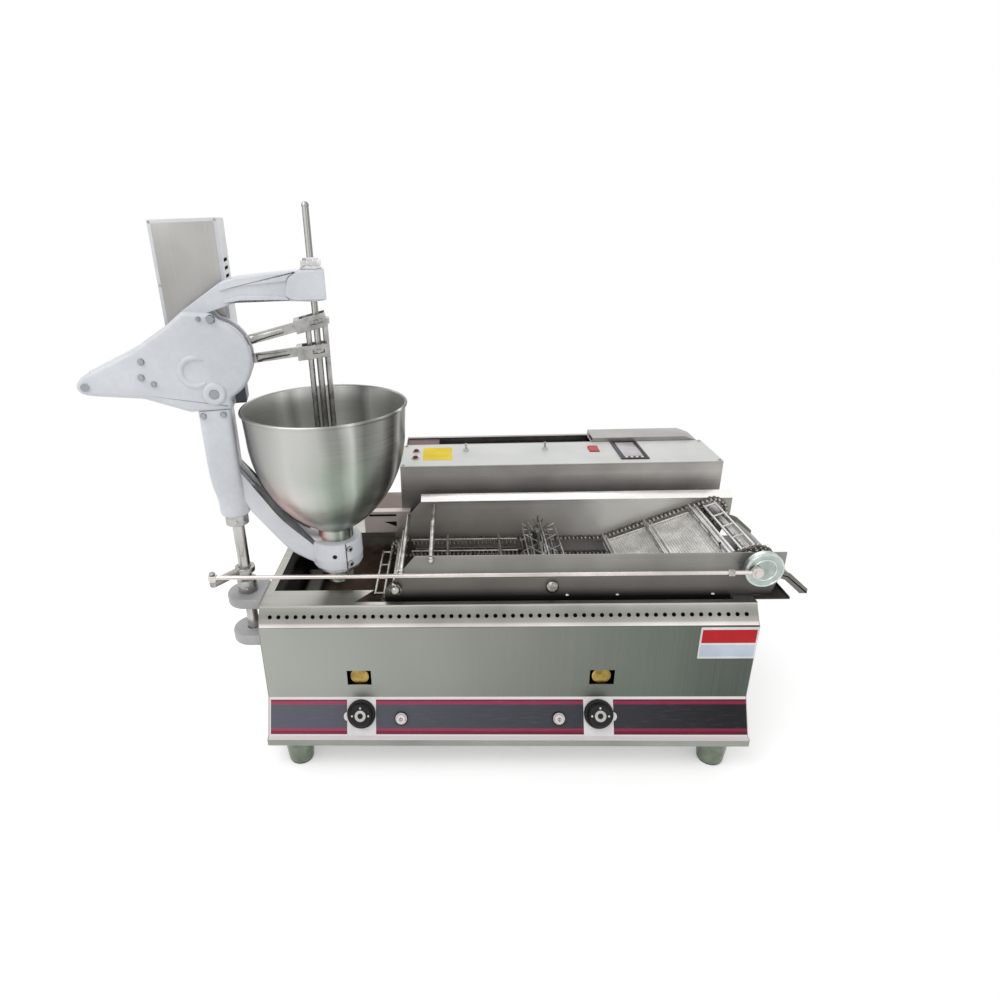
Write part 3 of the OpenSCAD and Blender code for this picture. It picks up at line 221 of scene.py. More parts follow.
def tankSteel():  # bright deck, walls and floor stained dark brown by hot oil, and near-black painted shade at the tank's left end
    f = Finish("tankSteel")
    grain, stain = f.noise(grainOf["x"], 2), f.noise((14, 14, 22), 5, 0.65)
    x, z = f.axis("X") - cabinet.translation.x, f.axis("Z")
    depth = f.spread(z + (stain - 0.5) * 0.05, 0.301, 0.262)
    deck = f.mix(f.spread(grain, 0.2, 0.8), (150, 150, 144), (198, 197, 190))
    burnt = f.vector("DISTANCE", f.place(), tuple(cabinet @ Vector((-232, 440, 302))), "Value")
    burnt = f.spread(burnt + (stain - 0.5) * 0.08, 0.11, 0.055) * (z > 0.29)
    deck = f.mix(burnt * 0.85, deck, (82, 56, 48))
    oily = f.mix(f.spread(stain, 0.35, 0.7), (58, 47, 41), (132, 112, 99))
    side = f.spread(x + (stain - 0.5) * 0.02, -0.34, -0.355)  # painted shade at the tank's left end, with one lighter stripe along the floor
    oily = f.mix(side, oily, (20, 18, 17))
    lightStripe = f.spread(x, -0.394, -0.386) * f.spread(x, -0.36, -0.368) * (z < 0.215)
    oily = f.mix(lightStripe * 0.9, oily, (176, 174, 167))
    return f.paint(Base_Color=f.mix(depth, deck, oily), Metallic=f.spread(depth, 0, 1, (1, 0.25)),
                   Roughness=f.spread(stain + grain * 0.3, 0.3, 1, (0.24, 0.46)), Normal=f.bump(grain, 0.05))


# painted reflections round the hopper: light and dark upright bands, inside and outside
insideReflections = [(0.0, 160), (0.05, 150), (0.2, 176), (0.4, 190), (0.53, 150), (0.605, 158), (0.64, 196),
               (0.668, 226), (0.69, 144), (0.71, 186), (0.74, 234), (0.765, 228), (0.79, 188), (0.82, 206),
               (0.835, 218), (0.855, 170), (0.875, 224), (0.9, 186), (0.95, 164), (1, 160)]
outsideReflections = [(0.0, 150), (0.03, 104), (0.08, 124), (0.13, 152), (0.17, 186), (0.2, 206), (0.235, 204),
                (0.262, 190), (0.283, 144), (0.3, 136), (0.318, 186), (0.326, 208), (0.336, 146), (0.352, 100),
                (0.37, 122), (0.39, 154), (0.41, 98), (0.424, 62), (0.436, 150), (0.446, 208), (0.458, 116),
                (0.48, 58), (0.53, 110), (0.6, 190), (0.7, 130), (0.8, 200), (0.9, 140), (1, 150)]


def bowlSteel(name, bands, metal, tintedReflections):  # turned bowl: painted reflections as upright bands round the axis, fine rings from the lathe
    f = Finish(name)
    away = f.vector("SUBTRACT", f.place(), tuple(hopperAxis.translation))
    x, y, z = (f.axis(k, away) for k in "XYZ")
    wander = f.add("ShaderNodeTexNoise", None, {"Vector": away, "Scale": 9, "Detail": 2})
    turn = f.sum("ARCTAN2", y, x) / (2 * math.pi) + 0.5 + (wander - 0.5) * 0.03
    rings = f.noise((3, 3, 2600), 1)
    base = f.ramp(turn, [(t, (v, v, v - 4)) for t, v in bands])
    base = f.mix(f.spread(rings, 0.3, 0.7, (0, 0.1)), base, (226, 225, 221))
    if tintedReflections:
        # painted coloured reflections: green on the lower bowl, pink lower still
        green = f.spread(turn, 0.2, 0.27) * f.spread(turn, 0.4, 0.33) * f.spread(z, 0.32, 0.24)
        pink = f.spread(turn, 0.03, 0.09) * f.spread(turn, 0.22, 0.15) * f.spread(z, 0.24, 0.17)
        base = f.mix(green * 0.4, base, (132, 160, 134))
        base = f.mix(pink * 0.55, base, (226, 160, 148))
    return f.paint(Base_Color=base, Metallic=metal, Roughness=f.spread(rings, 0.2, 0.8, (0.26, 0.34)),
                   Normal=f.bump(rings, 0.006, 0.0001))


def bright(name, light, dark, rough, scale, metal=1.0):
    f = Finish(name)
    cloud, marks = f.noise(scale, 4, 0.6), f.noise(400, 2)
    return f.paint(Base_Color=f.mix(f.spread(cloud, 0.3, 0.72), dark, light), Metallic=metal,
                   Roughness=f.spread(cloud + marks * 0.3, 0.4, 1, (rough, rough + 0.18)),
                   Normal=f.bump(marks, 0.05))


def paintCoat(name, colour, shade, rough=0.34, peel=0.12):
    f = Finish(name)
    peelNoise, cloud, spots = f.noise(330, 2), f.noise(9, 4), f.noise(120)
    base = f.mix(f.spread(cloud + (spots - 0.5) * 0.25, 0.35, 0.75), shade, colour)
    return f.paint(Base_Color=base, Roughness=f.spread(spots, 0.3, 0.7, (rough - 0.05, rough + 0.1)),
                   Normal=f.bump(peelNoise, peel, 0.0005), Coat_Weight=0.15, Coat_Roughness=0.2)


def stripPaint():  # white edge, red pair, dark band, red pair, white edge, from top to bottom
    f = Finish("stripPaint")
    z, x = f.spread(f.axis("Z"), 0.1273, 0.0668), f.spread(f.axis("X"), -0.35, 0.45)
    scuff = f.noise((40, 300, 300), 4)
    # painted reflection: each colour runs from lighter at the left end to darker at the right
    band = f.mix(x, (96, 97, 108), (14, 14, 19))
    red = f.mix(x, (160, 72, 98), (132, 26, 62))
    deep = f.mix(x, (128, 48, 70), (92, 12, 40))
    colour = white = (232, 226, 226)
    for start, paint in ((0.07, deep), (0.11, red), (0.195, band), (0.8, red), (0.87, deep), (0.955, white)):
        colour = f.mix(z > start, colour, paint)
    colour = f.mix(f.axis("X") < (cabinet.translation.x - 0.4105), colour, white)
    colour = f.mix(f.spread(scuff, 0.55, 0.8, (0, 0.05)), colour, (200, 200, 205))
    return f.paint(Base_Color=colour, Roughness=f.spread(scuff, 0.3, 0.7, (0.26, 0.42)),
                   Normal=f.bump(scuff, 0.04, 0.0003), Specular_IOR_Level=0.25)


def plastic(name, colour, rough):
    f = Finish(name)
    pits, cloud, full = f.noise(500, 2), f.noise(25), tone(*colour)
    dull = tuple(c * 0.82 for c in full[:3]) + (1,)
    return f.paint(Base_Color=f.mix(f.spread(cloud, 0.3, 0.7), dull, full), Specular_IOR_Level=0.22,
                   Roughness=f.spread(pits, 0.3, 0.7, (rough - 0.06, rough + 0.08)),
                   Normal=f.bump(pits, 0.06, 0.0003))


def turned(name, centre, light, dark):  # rings cut on a lathe round an axis along y
    f = Finish(name)
    flat = f.vector("MULTIPLY", f.vector("SUBTRACT", f.place(), tuple(centre)), (1, 0, 1))
    rings = f.sum("SINE", f.vector("LENGTH", flat, take="Value") * 5200) * 0.5 + 0.5
    base = f.mix(f.spread(f.noise(30) + rings * 0.18, 0.35, 0.85), dark, light)
    return f.paint(Base_Color=base, Metallic=1.0, Roughness=f.spread(rings, 0, 1, (0.3, 0.42)),
                   Normal=f.bump(rings, 0.08))


front = panelSteel()
sheet = brushed("sheetSteel", (182, 180, 174), (134, 133, 127))
sideSheet = brushed("sideSteel", (176, 175, 169), (128, 128, 122), "z")
lip = brushed("lipSteel", (168, 169, 163), (126, 131, 124))
# painted light on the control box: darker low down, a painted highlight high up under the fold
boxSheet = graded("boxSteel", [(0.302, (122, 119, 116)), (0.37, (140, 137, 133)), (0.388, (152, 149, 145)),
                               (0.4, (178, 173, 170)), (0.42, (214, 208, 205)), (0.434, (206, 202, 199)),
                               (0.44, (186, 183, 180))], 0.36, 0.5)
flueSheet = brushed("flueSteel", (182, 179, 178), (134, 131, 127))
# painted shade on the front plate: near black at its foot on the deck, lighter towards the top
lane = graded("laneSteel", [(0.302, (40, 38, 36)), (0.307, (78, 75, 72)), (0.32, (112, 108, 104)),
                            (0.345, (122, 119, 114)), (0.358, (150, 148, 143)), (0.372, (166, 165, 159)),
                            (0.382, (170, 168, 163))], 0.36, 0.45)
# painted light on the rear plate: darker at its foot, with a painted highlight along part of its length
laneRear = graded("rearLaneSteel", [(0.3, (128, 123, 118)), (0.318, (176, 171, 164)), (0.345, (196, 192, 185)),
                                    (0.372, (194, 191, 184)), (0.382, (172, 170, 164))], 0.4, 0.3, (0.06, 0.33))
# painted highlights on the vent rail: near white at its lowest edge and light again at its top edge
rail = graded("railSteel", [(0.271, (244, 238, 236)), (0.2748, (226, 220, 217)), (0.277, (176, 172, 168)),
                            (0.281, (170, 167, 163)), (0.2855, (150, 152, 146)), (0.293, (158, 160, 153)),
                            (0.2985, (172, 172, 166)), (0.3004, (206, 204, 199))])
cover = brushed("coverSteel", (194, 192, 189), (160, 158, 155), "z")
tank = tankSteel()
bowl = bowlSteel("bowlSteel", outsideReflections, 0.86, True)
bowlInside = bowlSteel("bowlInside", insideReflections, 0.55, False)
steel = bright("brightSteel", (204, 203, 200), (134, 133, 130), 0.2, 30)
rodSteel = bright("rodSteel", (212, 210, 207), (156, 154, 151), 0.14, 12)
linkRod = bright("linkRod", (234, 226, 221), (190, 182, 177), 0.16, 12)
lockSteel = bright("lockSteel", (240, 240, 238), (190, 189, 187), 0.2, 30, 0.8)
plungerSteel = bowlSteel("plungerSteel", outsideReflections, 0.86, True)
nutSteel = bright("nutSteel", (214, 210, 206), (120, 117, 113), 0.12, 40)
chainSteel = bright("chainSteel", (246, 243, 236), (196, 190, 182), 0.28, 120, 0.4)
gridSteel = bright("gridSteel", (236, 235, 232), (196, 194, 190), 0.3, 30, 0.6)
chuteSteel = bright("chuteSteel", (142, 140, 134), (112, 110, 105), 0.32, 9)
# painted shade: darker steel for the drip tray that lies in the drive's shadow
traySteel = bright("traySteel", (118, 112, 108), (84, 79, 76), 0.3, 12, 0.7)
# painted highlight: near-white steel for the rear plate's fold and the chain shelf
foldSteel = bright("foldSteel", (255, 254, 251), (246, 244, 240), 0.16, 20)
# painted light: steel made much lighter than the sheets so the bracket under the bowl's shadow still reads light
bracketSteel = brushed("bracketSteel", (246, 234, 229), (214, 200, 194), metal=0.15)
linkSteel = bright("linkSteel", (150, 144, 136), (74, 70, 65), 0.3, 120, 0.6)
footSteel = bright("footSteel", (146, 152, 140), (86, 96, 82), 0.18, 22)
cast = paintCoat("castPaint", (229, 232, 237), (208, 212, 218))
boltPaint = paintCoat("boltPaint", (190, 193, 198), (150, 153, 158), 0.3, 0.2)
bracketPaint = paintCoat("bracketPaint", (200, 200, 202), (168, 168, 170), 0.4, 0.2)
whitePaint = paintCoat("whitePaint", (226, 228, 231), (204, 207, 211), 0.36, 0.06)
panelPaint = paintCoat("panelPaint", (214, 215, 211), (198, 200, 196), 0.42, 0.006)
strip = stripPaint()
motorPaint = paintCoat("motorPaint", (112, 120, 132), (80, 88, 98), 0.42, 0.2)
brass = bright("brass", (206, 178, 104), (128, 102, 48), 0.3, 60)
black = plastic("blackPlastic", (34, 34, 36), 0.3)
white = plastic("whitePlastic", (238, 232, 232), 0.3)
red = plastic("redPlastic", (176, 34, 44), 0.28)
lampRed = plastic("lampRed", (112, 30, 30), 0.16)
markRed = plastic("markRed", (150, 70, 92), 0.35)
yellow = plastic("yellowLabel", (242, 212, 6), 0.5)
labelRed = plastic("labelRed", (196, 30, 38), 0.4)
labelPale = plastic("labelPale", (206, 216, 232), 0.4)
labelWhite = plastic("labelWhite", (238, 236, 236), 0.4)
screen = plastic("screenGlass", (196, 190, 196), 0.12)
rubber = plastic("rubber", (40, 40, 41), 0.6)
# painted highlight: a lighter copy of the disc's alloy for its raised rims
rimAlloy = bright("rimAlloy", (240, 246, 243), (196, 206, 202), 0.2, 60, 0.7)
alloy = turned("turnedAlloy", cabinet @ Vector((418, 30, 360)), (212, 222, 217), (150, 162, 158))
sootRed = paintCoat("flueRed", (112, 50, 50), (62, 34, 34), 0.5, 0.2)
# painted shade: near black for holes, slots, gaps and hollow insides
dark = plastic("darkInside", (24, 23, 22), 0.6)

worn = [(steel, "flights incline_plate post_collars swing_lever cover_screws nozzle upper_rocker lower_rocker"),
        (steel, "cutter_plunger metering_plunger drive_shaft flipper"), (sideSheet, "left_panel right_panel"),
        (motorPaint, "gas_manifold conveyor_motor head_gearmotor"), (brass, "burners gas_valves"),
        (bracketPaint, "upper_bracket lower_bracket"), (rodSteel, "post toggle_left toggle_right"),
        (cast, "head_column head_frame head_cover"), (boltPaint, "pivot_pin camshaft"),
        (chainSteel, "chains infeed_shaft"), (white, "igniter_button_left igniter_button_right"),
        (black, "igniter_bodies display_bezel gas_knob_left gas_knob_right"), (footSteel, "feet"),
        (lip, "bottom_tray"), (sheet, "rear_panel"), (front, "front_panel"), (rail, "vent_rail"),
        (strip, "control_strip"), (tank, "oil_tank"), (boxSheet, "control_box"), (panelPaint, "control_panel"),
        (lampRed, "indicator_lamps"), (flueSheet, "flue"), (lane, "front_plate"), (laneRear, "rear_plate"),
        (nutSteel, "tie_rods"), (chuteSteel, "exit_chute"), (bowl, "hopper"), (whitePaint, "motor_box"),
        (cover, "motor_box_cover"), (plungerSteel, "centre_rod"), (lockSteel, "lock_knob"),
        (linkRod, "connecting_rod"), (alloy, "crank_disc"), (red, "power_switch")]
finishOf = {node: finish for finish, names in worn for node in names.split()}
for name, node in nodes.items():
    node.data.materials.clear()
    node.data.materials.append(finishOf[name])


def linked(name, data):  # an object in the scene
    thing = bpy.data.objects.new(name, data)
    bpy.context.scene.collection.objects.link(thing)
    return thing


# a bmesh becomes a piece that rides a body
def finished(name, bm, finish, body="cabinet", angle=40, matrix=cabinet, outward=False):
    if outward:  # faces turned to the outside
        bmesh.ops.recalc_face_normals(bm, faces=bm.faces)
    if matrix is not None:
        bm.transform(matrix)
    bm.normal_update()
    for face in bm.faces:
        face.smooth = True
    for e in bm.edges:
        e.smooth = len(e.link_faces) == 2 and e.calc_face_angle(0) < math.radians(angle)
    mesh = bpy.data.meshes.new(name)
    bm.to_mesh(mesh)
    bm.free()
    for one in finish if isinstance(finish, list) else [finish]:
        mesh.materials.append(one)
    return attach(linked(name, mesh), body)


def skin(bm, rings, slot=0, matrix=None, closed=True):  # faces from ring to ring, and over both ends
    n = len(rings[0])
    for a, b in zip(rings, rings[1:]):
        for i in range(n if closed else n - 1):
            bm.faces.new([a[i], a[(i + 1) % n], b[(i + 1) % n], b[i]]).material_index = slot
    for end in (rings[0][::-1], rings[-1]) if closed else ():
        bm.faces.new(end).material_index = slot
    if matrix is not None:
        bmesh.ops.transform(bm, matrix=matrix, verts=[v for ring in rings for v in ring])


def lathe(bm, profile, matrix=None, steps=48, slot=0):  # turns (radius, height) points round z
    rings = []
    for r, h in profile:
        spots = [polar(r, a) for a in turns(steps)] if r > 1e-6 else [(0, 0)]
        rings.append([bm.verts.new((x, y, h)) for x, y in spots])
    for a, b in zip(rings, rings[1:]):
        for i in range(steps):
            j = (i + 1) % steps
            quad = list(dict.fromkeys([a[i % len(a)], a[j % len(a)], b[j % len(b)], b[i % len(b)]]))
            if len(quad) > 2:
                bm.faces.new(quad).material_index = slot
    if matrix is not None:
        bmesh.ops.transform(bm, matrix=matrix, verts=[v for ring in rings for v in ring])


def capped(bm, radius, low, high, edge, matrix=None, steps=32, slot=0):  # a bar with rounded ends
    bit = edge * 0.3
    ends = [(0, low), (radius - edge, low), (radius - bit, low + bit), (radius, low + edge)]
    ends += [(radius, high - edge), (radius - bit, high - bit), (radius - edge, high), (0, high)]
    lathe(bm, ends, matrix, steps, slot)


def block(bm, low, high, edge=0.4, matrix=None, slot=0):  # a box with rounded edges
    low, high = Vector(low), Vector(high)
    before = set(bm.faces)
    place = Matrix.Translation((low + high) / 2) @ Matrix.Diagonal((*(high - low), 1))
    made = bmesh.ops.create_cube(bm, size=1, matrix=place)
    edges = list({e for v in made["verts"] for e in v.link_edges})
    bmesh.ops.bevel(bm, geom=edges, offset=edge, segments=2, profile=0.5, affect="EDGES")
    faces = [f for f in bm.faces if f not in before]
    for f in faces:
        f.material_index = slot
    if matrix is not None:
        bmesh.ops.transform(bm, matrix=matrix, verts=list({v for f in faces for v in f.verts}))


def plate(bm, outline, low, high, edge=0.4, matrix=None, slot=0, steps=2):  # an outline drawn out in z
    rims = [(edge, low)]
    for i in range(steps + 1 if edge else 0):  # the first rim stands twice, so flat ends shade flat
        a = math.pi / 2 * i / steps
        rims.append((edge * (1 - math.sin(a)), low + edge * (1 - math.cos(a))))
    rims += [(d, high - (h - low)) for d, h in reversed(rims)]
    skin(bm, [[bm.verts.new((x, y, h)) for x, y in inset(outline, d)] for d, h in rims], slot, matrix)


def corners(outline):  # each point with the one before and the one after
    n = len(outline)
    return [[Vector(outline[(i + k) % n]) for k in (-1, 0, 1)] for i in range(n)]


def inset(outline, d):  # the outline drawn in by d, for outlines that run against the clock
    if abs(d) < 1e-9:
        return list(outline)
    out = []
    for p, q, r in corners(outline):
        a, b = (q - p).normalized(), (r - q).normalized()
        na, nb = Vector((-a.y, a.x)), Vector((-b.y, b.x))
        out.append(tuple(q + (na + nb) / max(1 + na.dot(nb), 0.4) * d))
    return out


def rounded(outline, radius, steps=4):  # corners of an outline turned into arcs
    out = []
    for p, q, r in corners(outline):
        a, b = p - q, r - q
        cut = min(radius, a.length * 0.45, b.length * 0.45)
        s, e = q + a.normalized() * cut, q + b.normalized() * cut
        for t in (k / steps for k in range(steps + 1)):
            out.append(tuple(s * (1 - t) ** 2 + q * 2 * t * (1 - t) + e * t * t))
    return out


def tube(bm, start, end, radius, sides=8):  # a round wire from start to end
    start, end = Vector(start), Vector(end)
    d = (end - start).normalized()
    up = d.orthogonal().normalized()
    side = d.cross(up)
    skin(bm, [[bm.verts.new(p + radius * (math.cos(a) * up + math.sin(a) * side)) for a in turns(sides)]
              for p in (start, end)])


def soften(node, width):  # a node's own form with its edges rounded
    bm = bmesh.new()
    bm.from_mesh(nodes[node].data)
    bmesh.ops.remove_doubles(bm, verts=bm.verts, dist=2e-6)
    bmesh.ops.dissolve_limit(bm, angle_limit=math.radians(0.4), verts=bm.verts, edges=bm.edges)
    edges = [e for e in bm.edges if len(e.link_faces) == 2 and e.calc_face_angle(0) > math.radians(32)]
    bmesh.ops.bevel(bm, geom=edges, offset=width / 1000, segments=2, profile=0.5, affect="EDGES",
                    clamp_overlap=False)
    low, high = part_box(node)
    for v in bm.verts:  # no corner of a rounding leaves the node's own box
        v.co = [min(max(c, a), b) for c, a, b in zip(v.co, low, high)]
    piece = finished(node + ".shaped", bm, finishOf[node], bodyOf[node], 60, None)
    piece.modifiers.new("normals", "WEIGHTED_NORMAL").keep_sharp = True
    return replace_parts(piece, node)


print("rounded sheet and cast pieces")
edgeOf = {"bottom_tray": 0.5, "left_panel": 0.5, "right_panel": 0.5, "control_box": 0.7, "control_panel": 0.5,
          "flue": 0.8, "front_plate": 0.4, "rear_plate": 0.5, "upper_bracket": 3, "lower_bracket": 3,
          "post_collars": 0.8, "swing_lever": 1.5, "head_frame": 1.4, "head_gearmotor": 2.5,
          "motor_box": 0.6, "upper_rocker": 0.4, "lower_rocker": 0.4, "connecting_rod": 0.8,
          "conveyor_motor": 2.5, "display_bezel": 0.6, "power_switch": 0.6, "tie_rods": 0.4, "nozzle": 0.8,
          "crank_disc": 1.0, "cutter_plunger": 0.4, "metering_plunger": 0.4}
for node, width in edgeOf.items():
    soften(node, width)

print("hopper")
hopper = {"neck": 30, "arc": 203, "bowl": 129, "bowlZ": 286, "rimZ": 326, "flare": 3, "bead": 2.5, "wall": 1.5,
          "low": 44.2}


def hopperProfile(h):  # the outer line with its beaded rim, then the inner line
    inner, rim = h["bowl"] - h["arc"], h["bowl"] + h["flare"]
    start = math.acos((h["neck"] - inner) / h["arc"])
    outside = [(h["neck"], h["low"]), (h["neck"], h["bowlZ"] - math.sin(start) * h["arc"] - 6)]
    outside += [polar(h["arc"], -start * (1 - i / 24), inner, h["bowlZ"]) for i in range(25)]
    bead = [polar(h["bead"], math.pi * (1.55 * i / 12 - 0.6), rim, h["rimZ"]) for i in range(13)]
    inside = [(r - h["wall"], z + 0.4) for r, z in reversed(outside)]
    return outside + bead, [bead[-1]] + inside + [outside[0]]


bm = bmesh.new()
for slot, line in enumerate(hopperProfile(hopper)):
    lathe(bm, line, steps=144, slot=slot)
bmesh.ops.remove_doubles(bm, verts=bm.verts, dist=0.001)
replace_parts(finished("hopperBowl", bm, [bowl, bowlInside], "head", 50, hopperAxis), "hopper")

print("head cover")
coverShape = {"bill": 180, "radius": 62, "tip": 14, "tipDrop": 26, "back": -16, "face": -28, "fillet": 7,
              "middle": (-40, -6), "shares": [(-1.02, -0.18), (-0.6, 0.34), (-0.3, 0.87), (-0.16, 1.18),
                                              (0.06, 1.1), (0.12, 0.9), (0.13, -1.22), (-0.22, -1.22),
                                              (-0.57, -0.81), (-1.01, -0.64)]}


def billOutline(c, count=220):  # the outer line of the tapered plate, its tip and its round housing
    centre = Vector(c["middle"])
    poly = [Vector((x * c["bill"], y * c["radius"])) for x, y in c["shares"]]
    rounds = [(Vector((0, 0)), c["radius"]), (Vector((-c["bill"], -c["tipDrop"])), c["tip"])]
    out = []
    for turn in turns(count):
        d = Vector(polar(1, turn))
        far = 0
        for p, q in zip(poly, poly[1:] + poly[:1]):
            e, w = q - p, p - centre
            det = d.x * -e.y + d.y * e.x
            if abs(det) > 1e-9:
                t, s = (w.x * -e.y + w.y * e.x) / det, (d.x * w.y - d.y * w.x) / det
                if t > 0 and -1e-6 <= s <= 1 + 1e-6:
                    far = max(far, t)
        for m, r in rounds:
            w = centre - m
            b = w.dot(d)
            under = b * b - w.length_squared + r * r
            if under > 0:
                far = max(far, -b + math.sqrt(under))
        out.append(centre + d * far)
    for _ in range(2):
        out = [(out[i - 1] + out[i] * 2 + out[(i + 1) % count]) / 4 for i in range(count)]
    return [tuple(p) for p in out]


bm = bmesh.new()
billLine = billOutline(coverShape)
onBack, onFace = upright(coverShape["back"]), upright(coverShape["face"])
proud, fillet = coverShape["back"] - coverShape["face"], coverShape["fillet"]
rims = [(0, 0)]
for a in (math.pi / 2 * i / 5 for i in range(6)):  # a full round along the front rim
    rims.append((fillet * (1 - math.cos(a)), proud - fillet + fillet * math.sin(a)))
skin(bm, [[bm.verts.new((x, y, h)) for x, y in inset(billLine, d)] for d, h in rims], 0, onBack)
lathe(bm, [(17.5, -2), (17.2, 2.5), (15.8, 4.3), (13.5, 5), (8.4, 5), (7.3, 4.2), (7.1, -2)],
      onFace @ at(0, -49, 0))
ribShape = {"radius": 21, "middle": (-23, -14), "from": 52, "sweep": 256, "half": 4.6, "high": 4.2, "steps": 28}
last = ribShape["steps"]
ribTurns = [math.radians(ribShape["from"] + ribShape["sweep"] * i / last) for i in range(last + 1)]
rib = [polar(ribShape["radius"], a, *ribShape["middle"]) for a in ribTurns]
rows = []
for i, p in enumerate(rib):  # a raised open ring on the face
    run = Vector(rib[min(i + 1, last)]) - Vector(rib[max(i - 1, 0)])
    side = Vector((-run.y, run.x)).normalized()
    taper = min(1, 0.35 + 1.3 * math.sin(math.pi * i / last))
    row = []
    for a in (math.pi * k / 6 for k in range(7)):
        q = Vector(p) + side * math.cos(a) * ribShape["half"] * taper
        row.append(bm.verts.new(onFace @ Vector((q.x, q.y, ribShape["high"] * math.sin(a) * taper - 0.3))))
    rows.append(row)
skin(bm, rows, closed=False)
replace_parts(finished("headCover", bm, cast, "head", 50, None, True), "head_cover")

roof = {"from": -190, "to": -27, "above": -22, "front": 17.5, "back": -22, "sheet": 3}
roofLine = sorted(p for p in inset(billLine, -0.4) if roof["from"] < p[0] < roof["to"] and p[1] > roof["above"])
section = ((roof["front"], 0), (roof["back"], 0), (roof["back"], roof["sheet"]), (roof["front"], roof["sheet"]))
bm = bmesh.new()  # the strip that closes the head's top edge
skin(bm, [[bm.verts.new(upright(0) @ Vector((x, y - drop, z))) for z, drop in section] for x, y in roofLine])
finished("headRoof", bm, cast, "head", 40, None, True)

armRelief = {"pad": [(120, 86), (134, 79.5), (180, 78.5), (180.5, 120), (142, 120.5), (127, 112)],
             "upper": [(27, 97), (56, 103), (124, 107), (126, 113), (140, 120), (130, 120), (53, 115), (30, 109)],
             "lower": [(32, 79.2), (57, 82.6), (128, 79.3), (121, 86), (59, 91), (34, 86)]}
bm = bmesh.new()  # raised edges and end pad of the cast arm
for name, proud, radius in (("pad", 4.6, 5), ("upper", 3, 3), ("lower", 3, 3)):
    plate(bm, rounded(armRelief[name], radius), -1, proud, 1.6, onBack, steps=4)
finished("armRelief", bm, cast, "head", 40, None, True)

bossLine = [(0, 247), (6.9, 247), (7.4, 248), (7.4, 254), (6.6, 256), (5.6, 273), (5.4, 292), (5, 298), (0, 298)]
for name, rise, y in (("upper", 12.05, -8), ("lower", 4.85, 8)):  # round bosses where the rockers leave the head
    bm = bmesh.new()
    lathe(bm, bossLine, head @ at(-180, y, 386, 90 - rise, "Y"), 32)
    finished(name + "RockerBoss", bm, steel, name + "_rocker", 40, None, True)

print("column, ring and nuts")
limb = {"reach": 162, "high": 50, "low": 44, "half": 18,
        "shares": [(0.06, 4.3), (0.1, 2.6), (0.5, 0.68), (0.75, 0.12), (0.92, 0), (1, 0), (1, 1), (0.74, 1.12),
                   (0.49, 1.92)]}
columnSections = [(153, 0, 21, 21, 2), (155, 0, 23.4, 23.4, 2), (159, 0, 24.8, 24.8, 2), (178, 0, 25, 25, 2),
                  (190, -1, 25, 25.2, 2.6), (204, -3, 25, 25.6, 3.6), (222, -4.6, 25, 26, 5),
                  (250, -5, 25, 26, 6.5), (336.4, -5, 25, 26, 7)]  # height, middle, half widths, squareness
ringLine = [(30.4, 94), (39.5, 94), (42.6, 92.7), (44, 89.6), (44, 66), (44.6, 64.5), (44.6, 61.5), (44, 60),
            (44, 48.4), (42.6, 45.3), (39.5, 44), (30.4, 44), (30.4, 94)]


def onRing(angle, out, z):  # z points out of the split ring
    return hopperAxis @ at(0, 0, 0, angle, "Z") @ at(out, 0, z, 90, "Y")


bm = bmesh.new()
rings = []
for z, x, hx, hy, p in columnSections:
    rings.append([])
    for c, q in (polar(1, a) for a in turns(64)):
        k = (abs(c) ** p + abs(q) ** p) ** (-1 / p)
        rings[-1].append(bm.verts.new((x + hx * k * c, hy * k * q, z)))
skin(bm, rings, 0, head)
line = rounded([(u * limb["reach"], z * limb["high"]) for u, z in limb["shares"]], 26, 6)
plate(bm, line, -limb["half"], limb["half"], 6, head @ at(0, 0, limb["low"], 90), steps=4)
lathe(bm, ringLine, hopperAxis, 72)
for z in (83, 55):  # clamp screws of the split ring, their sockets near black as painted shade
    capped(bm, 5, 0, 4.6, 1, onRing(-64, 43, z), 24, 1)
    lathe(bm, [(2.6, 4.62), (0, 4.62)], onRing(-64, 43, z), 6, 2)
# a small round boss whose hole, and the ring's split, are drawn near black as painted shade
lathe(bm, [(5.2, 0.05), (4.6, 0.6), (3.9, 0.3)], onRing(-98, 44, 72), 24)
lathe(bm, [(3.9, 0.3), (0, 0.3)], onRing(-98, 44, 72), 24, 2)
block(bm, (43.6, -0.8, 45), (44.75, 0.8, 93), 0.2, hopperAxis @ at(0, 0, 0, -72, "Z"), 2)
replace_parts(finished("headColumn", bm, [cast, steel, dark], "head", 42, None, True), "head_column")

lock = {"bore": 5.3, "washer": 534.3, "low": 539, "high": 546.5, "crest": 15.2, "root": 14.3, "teeth": 36}
bore, low = lock["bore"], lock["low"]
bm = bmesh.new()  # knurled lock nut on its washer
lathe(bm, [(bore, lock["washer"]), (16, lock["washer"]), (16.5, 534.9), (16.5, 537.4), (16, 538), (13, 538.2),
           (13, low), (bore, low)], hopperAxis)
line = [polar(lock["crest"] if i % 2 else lock["root"], a) for i, a in enumerate(turns(lock["teeth"] * 2))]
plate(bm, line, low, lock["high"], 0.7, hopperAxis)
lathe(bm, [(bore, 546.4), (12, 546.5), (12, 549), (11, 550.3), (bore, 550.3)], hopperAxis, 6)
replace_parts(finished("lockNut", bm, lockSteel, "lock_knob", 30, None, True), "lock_knob")

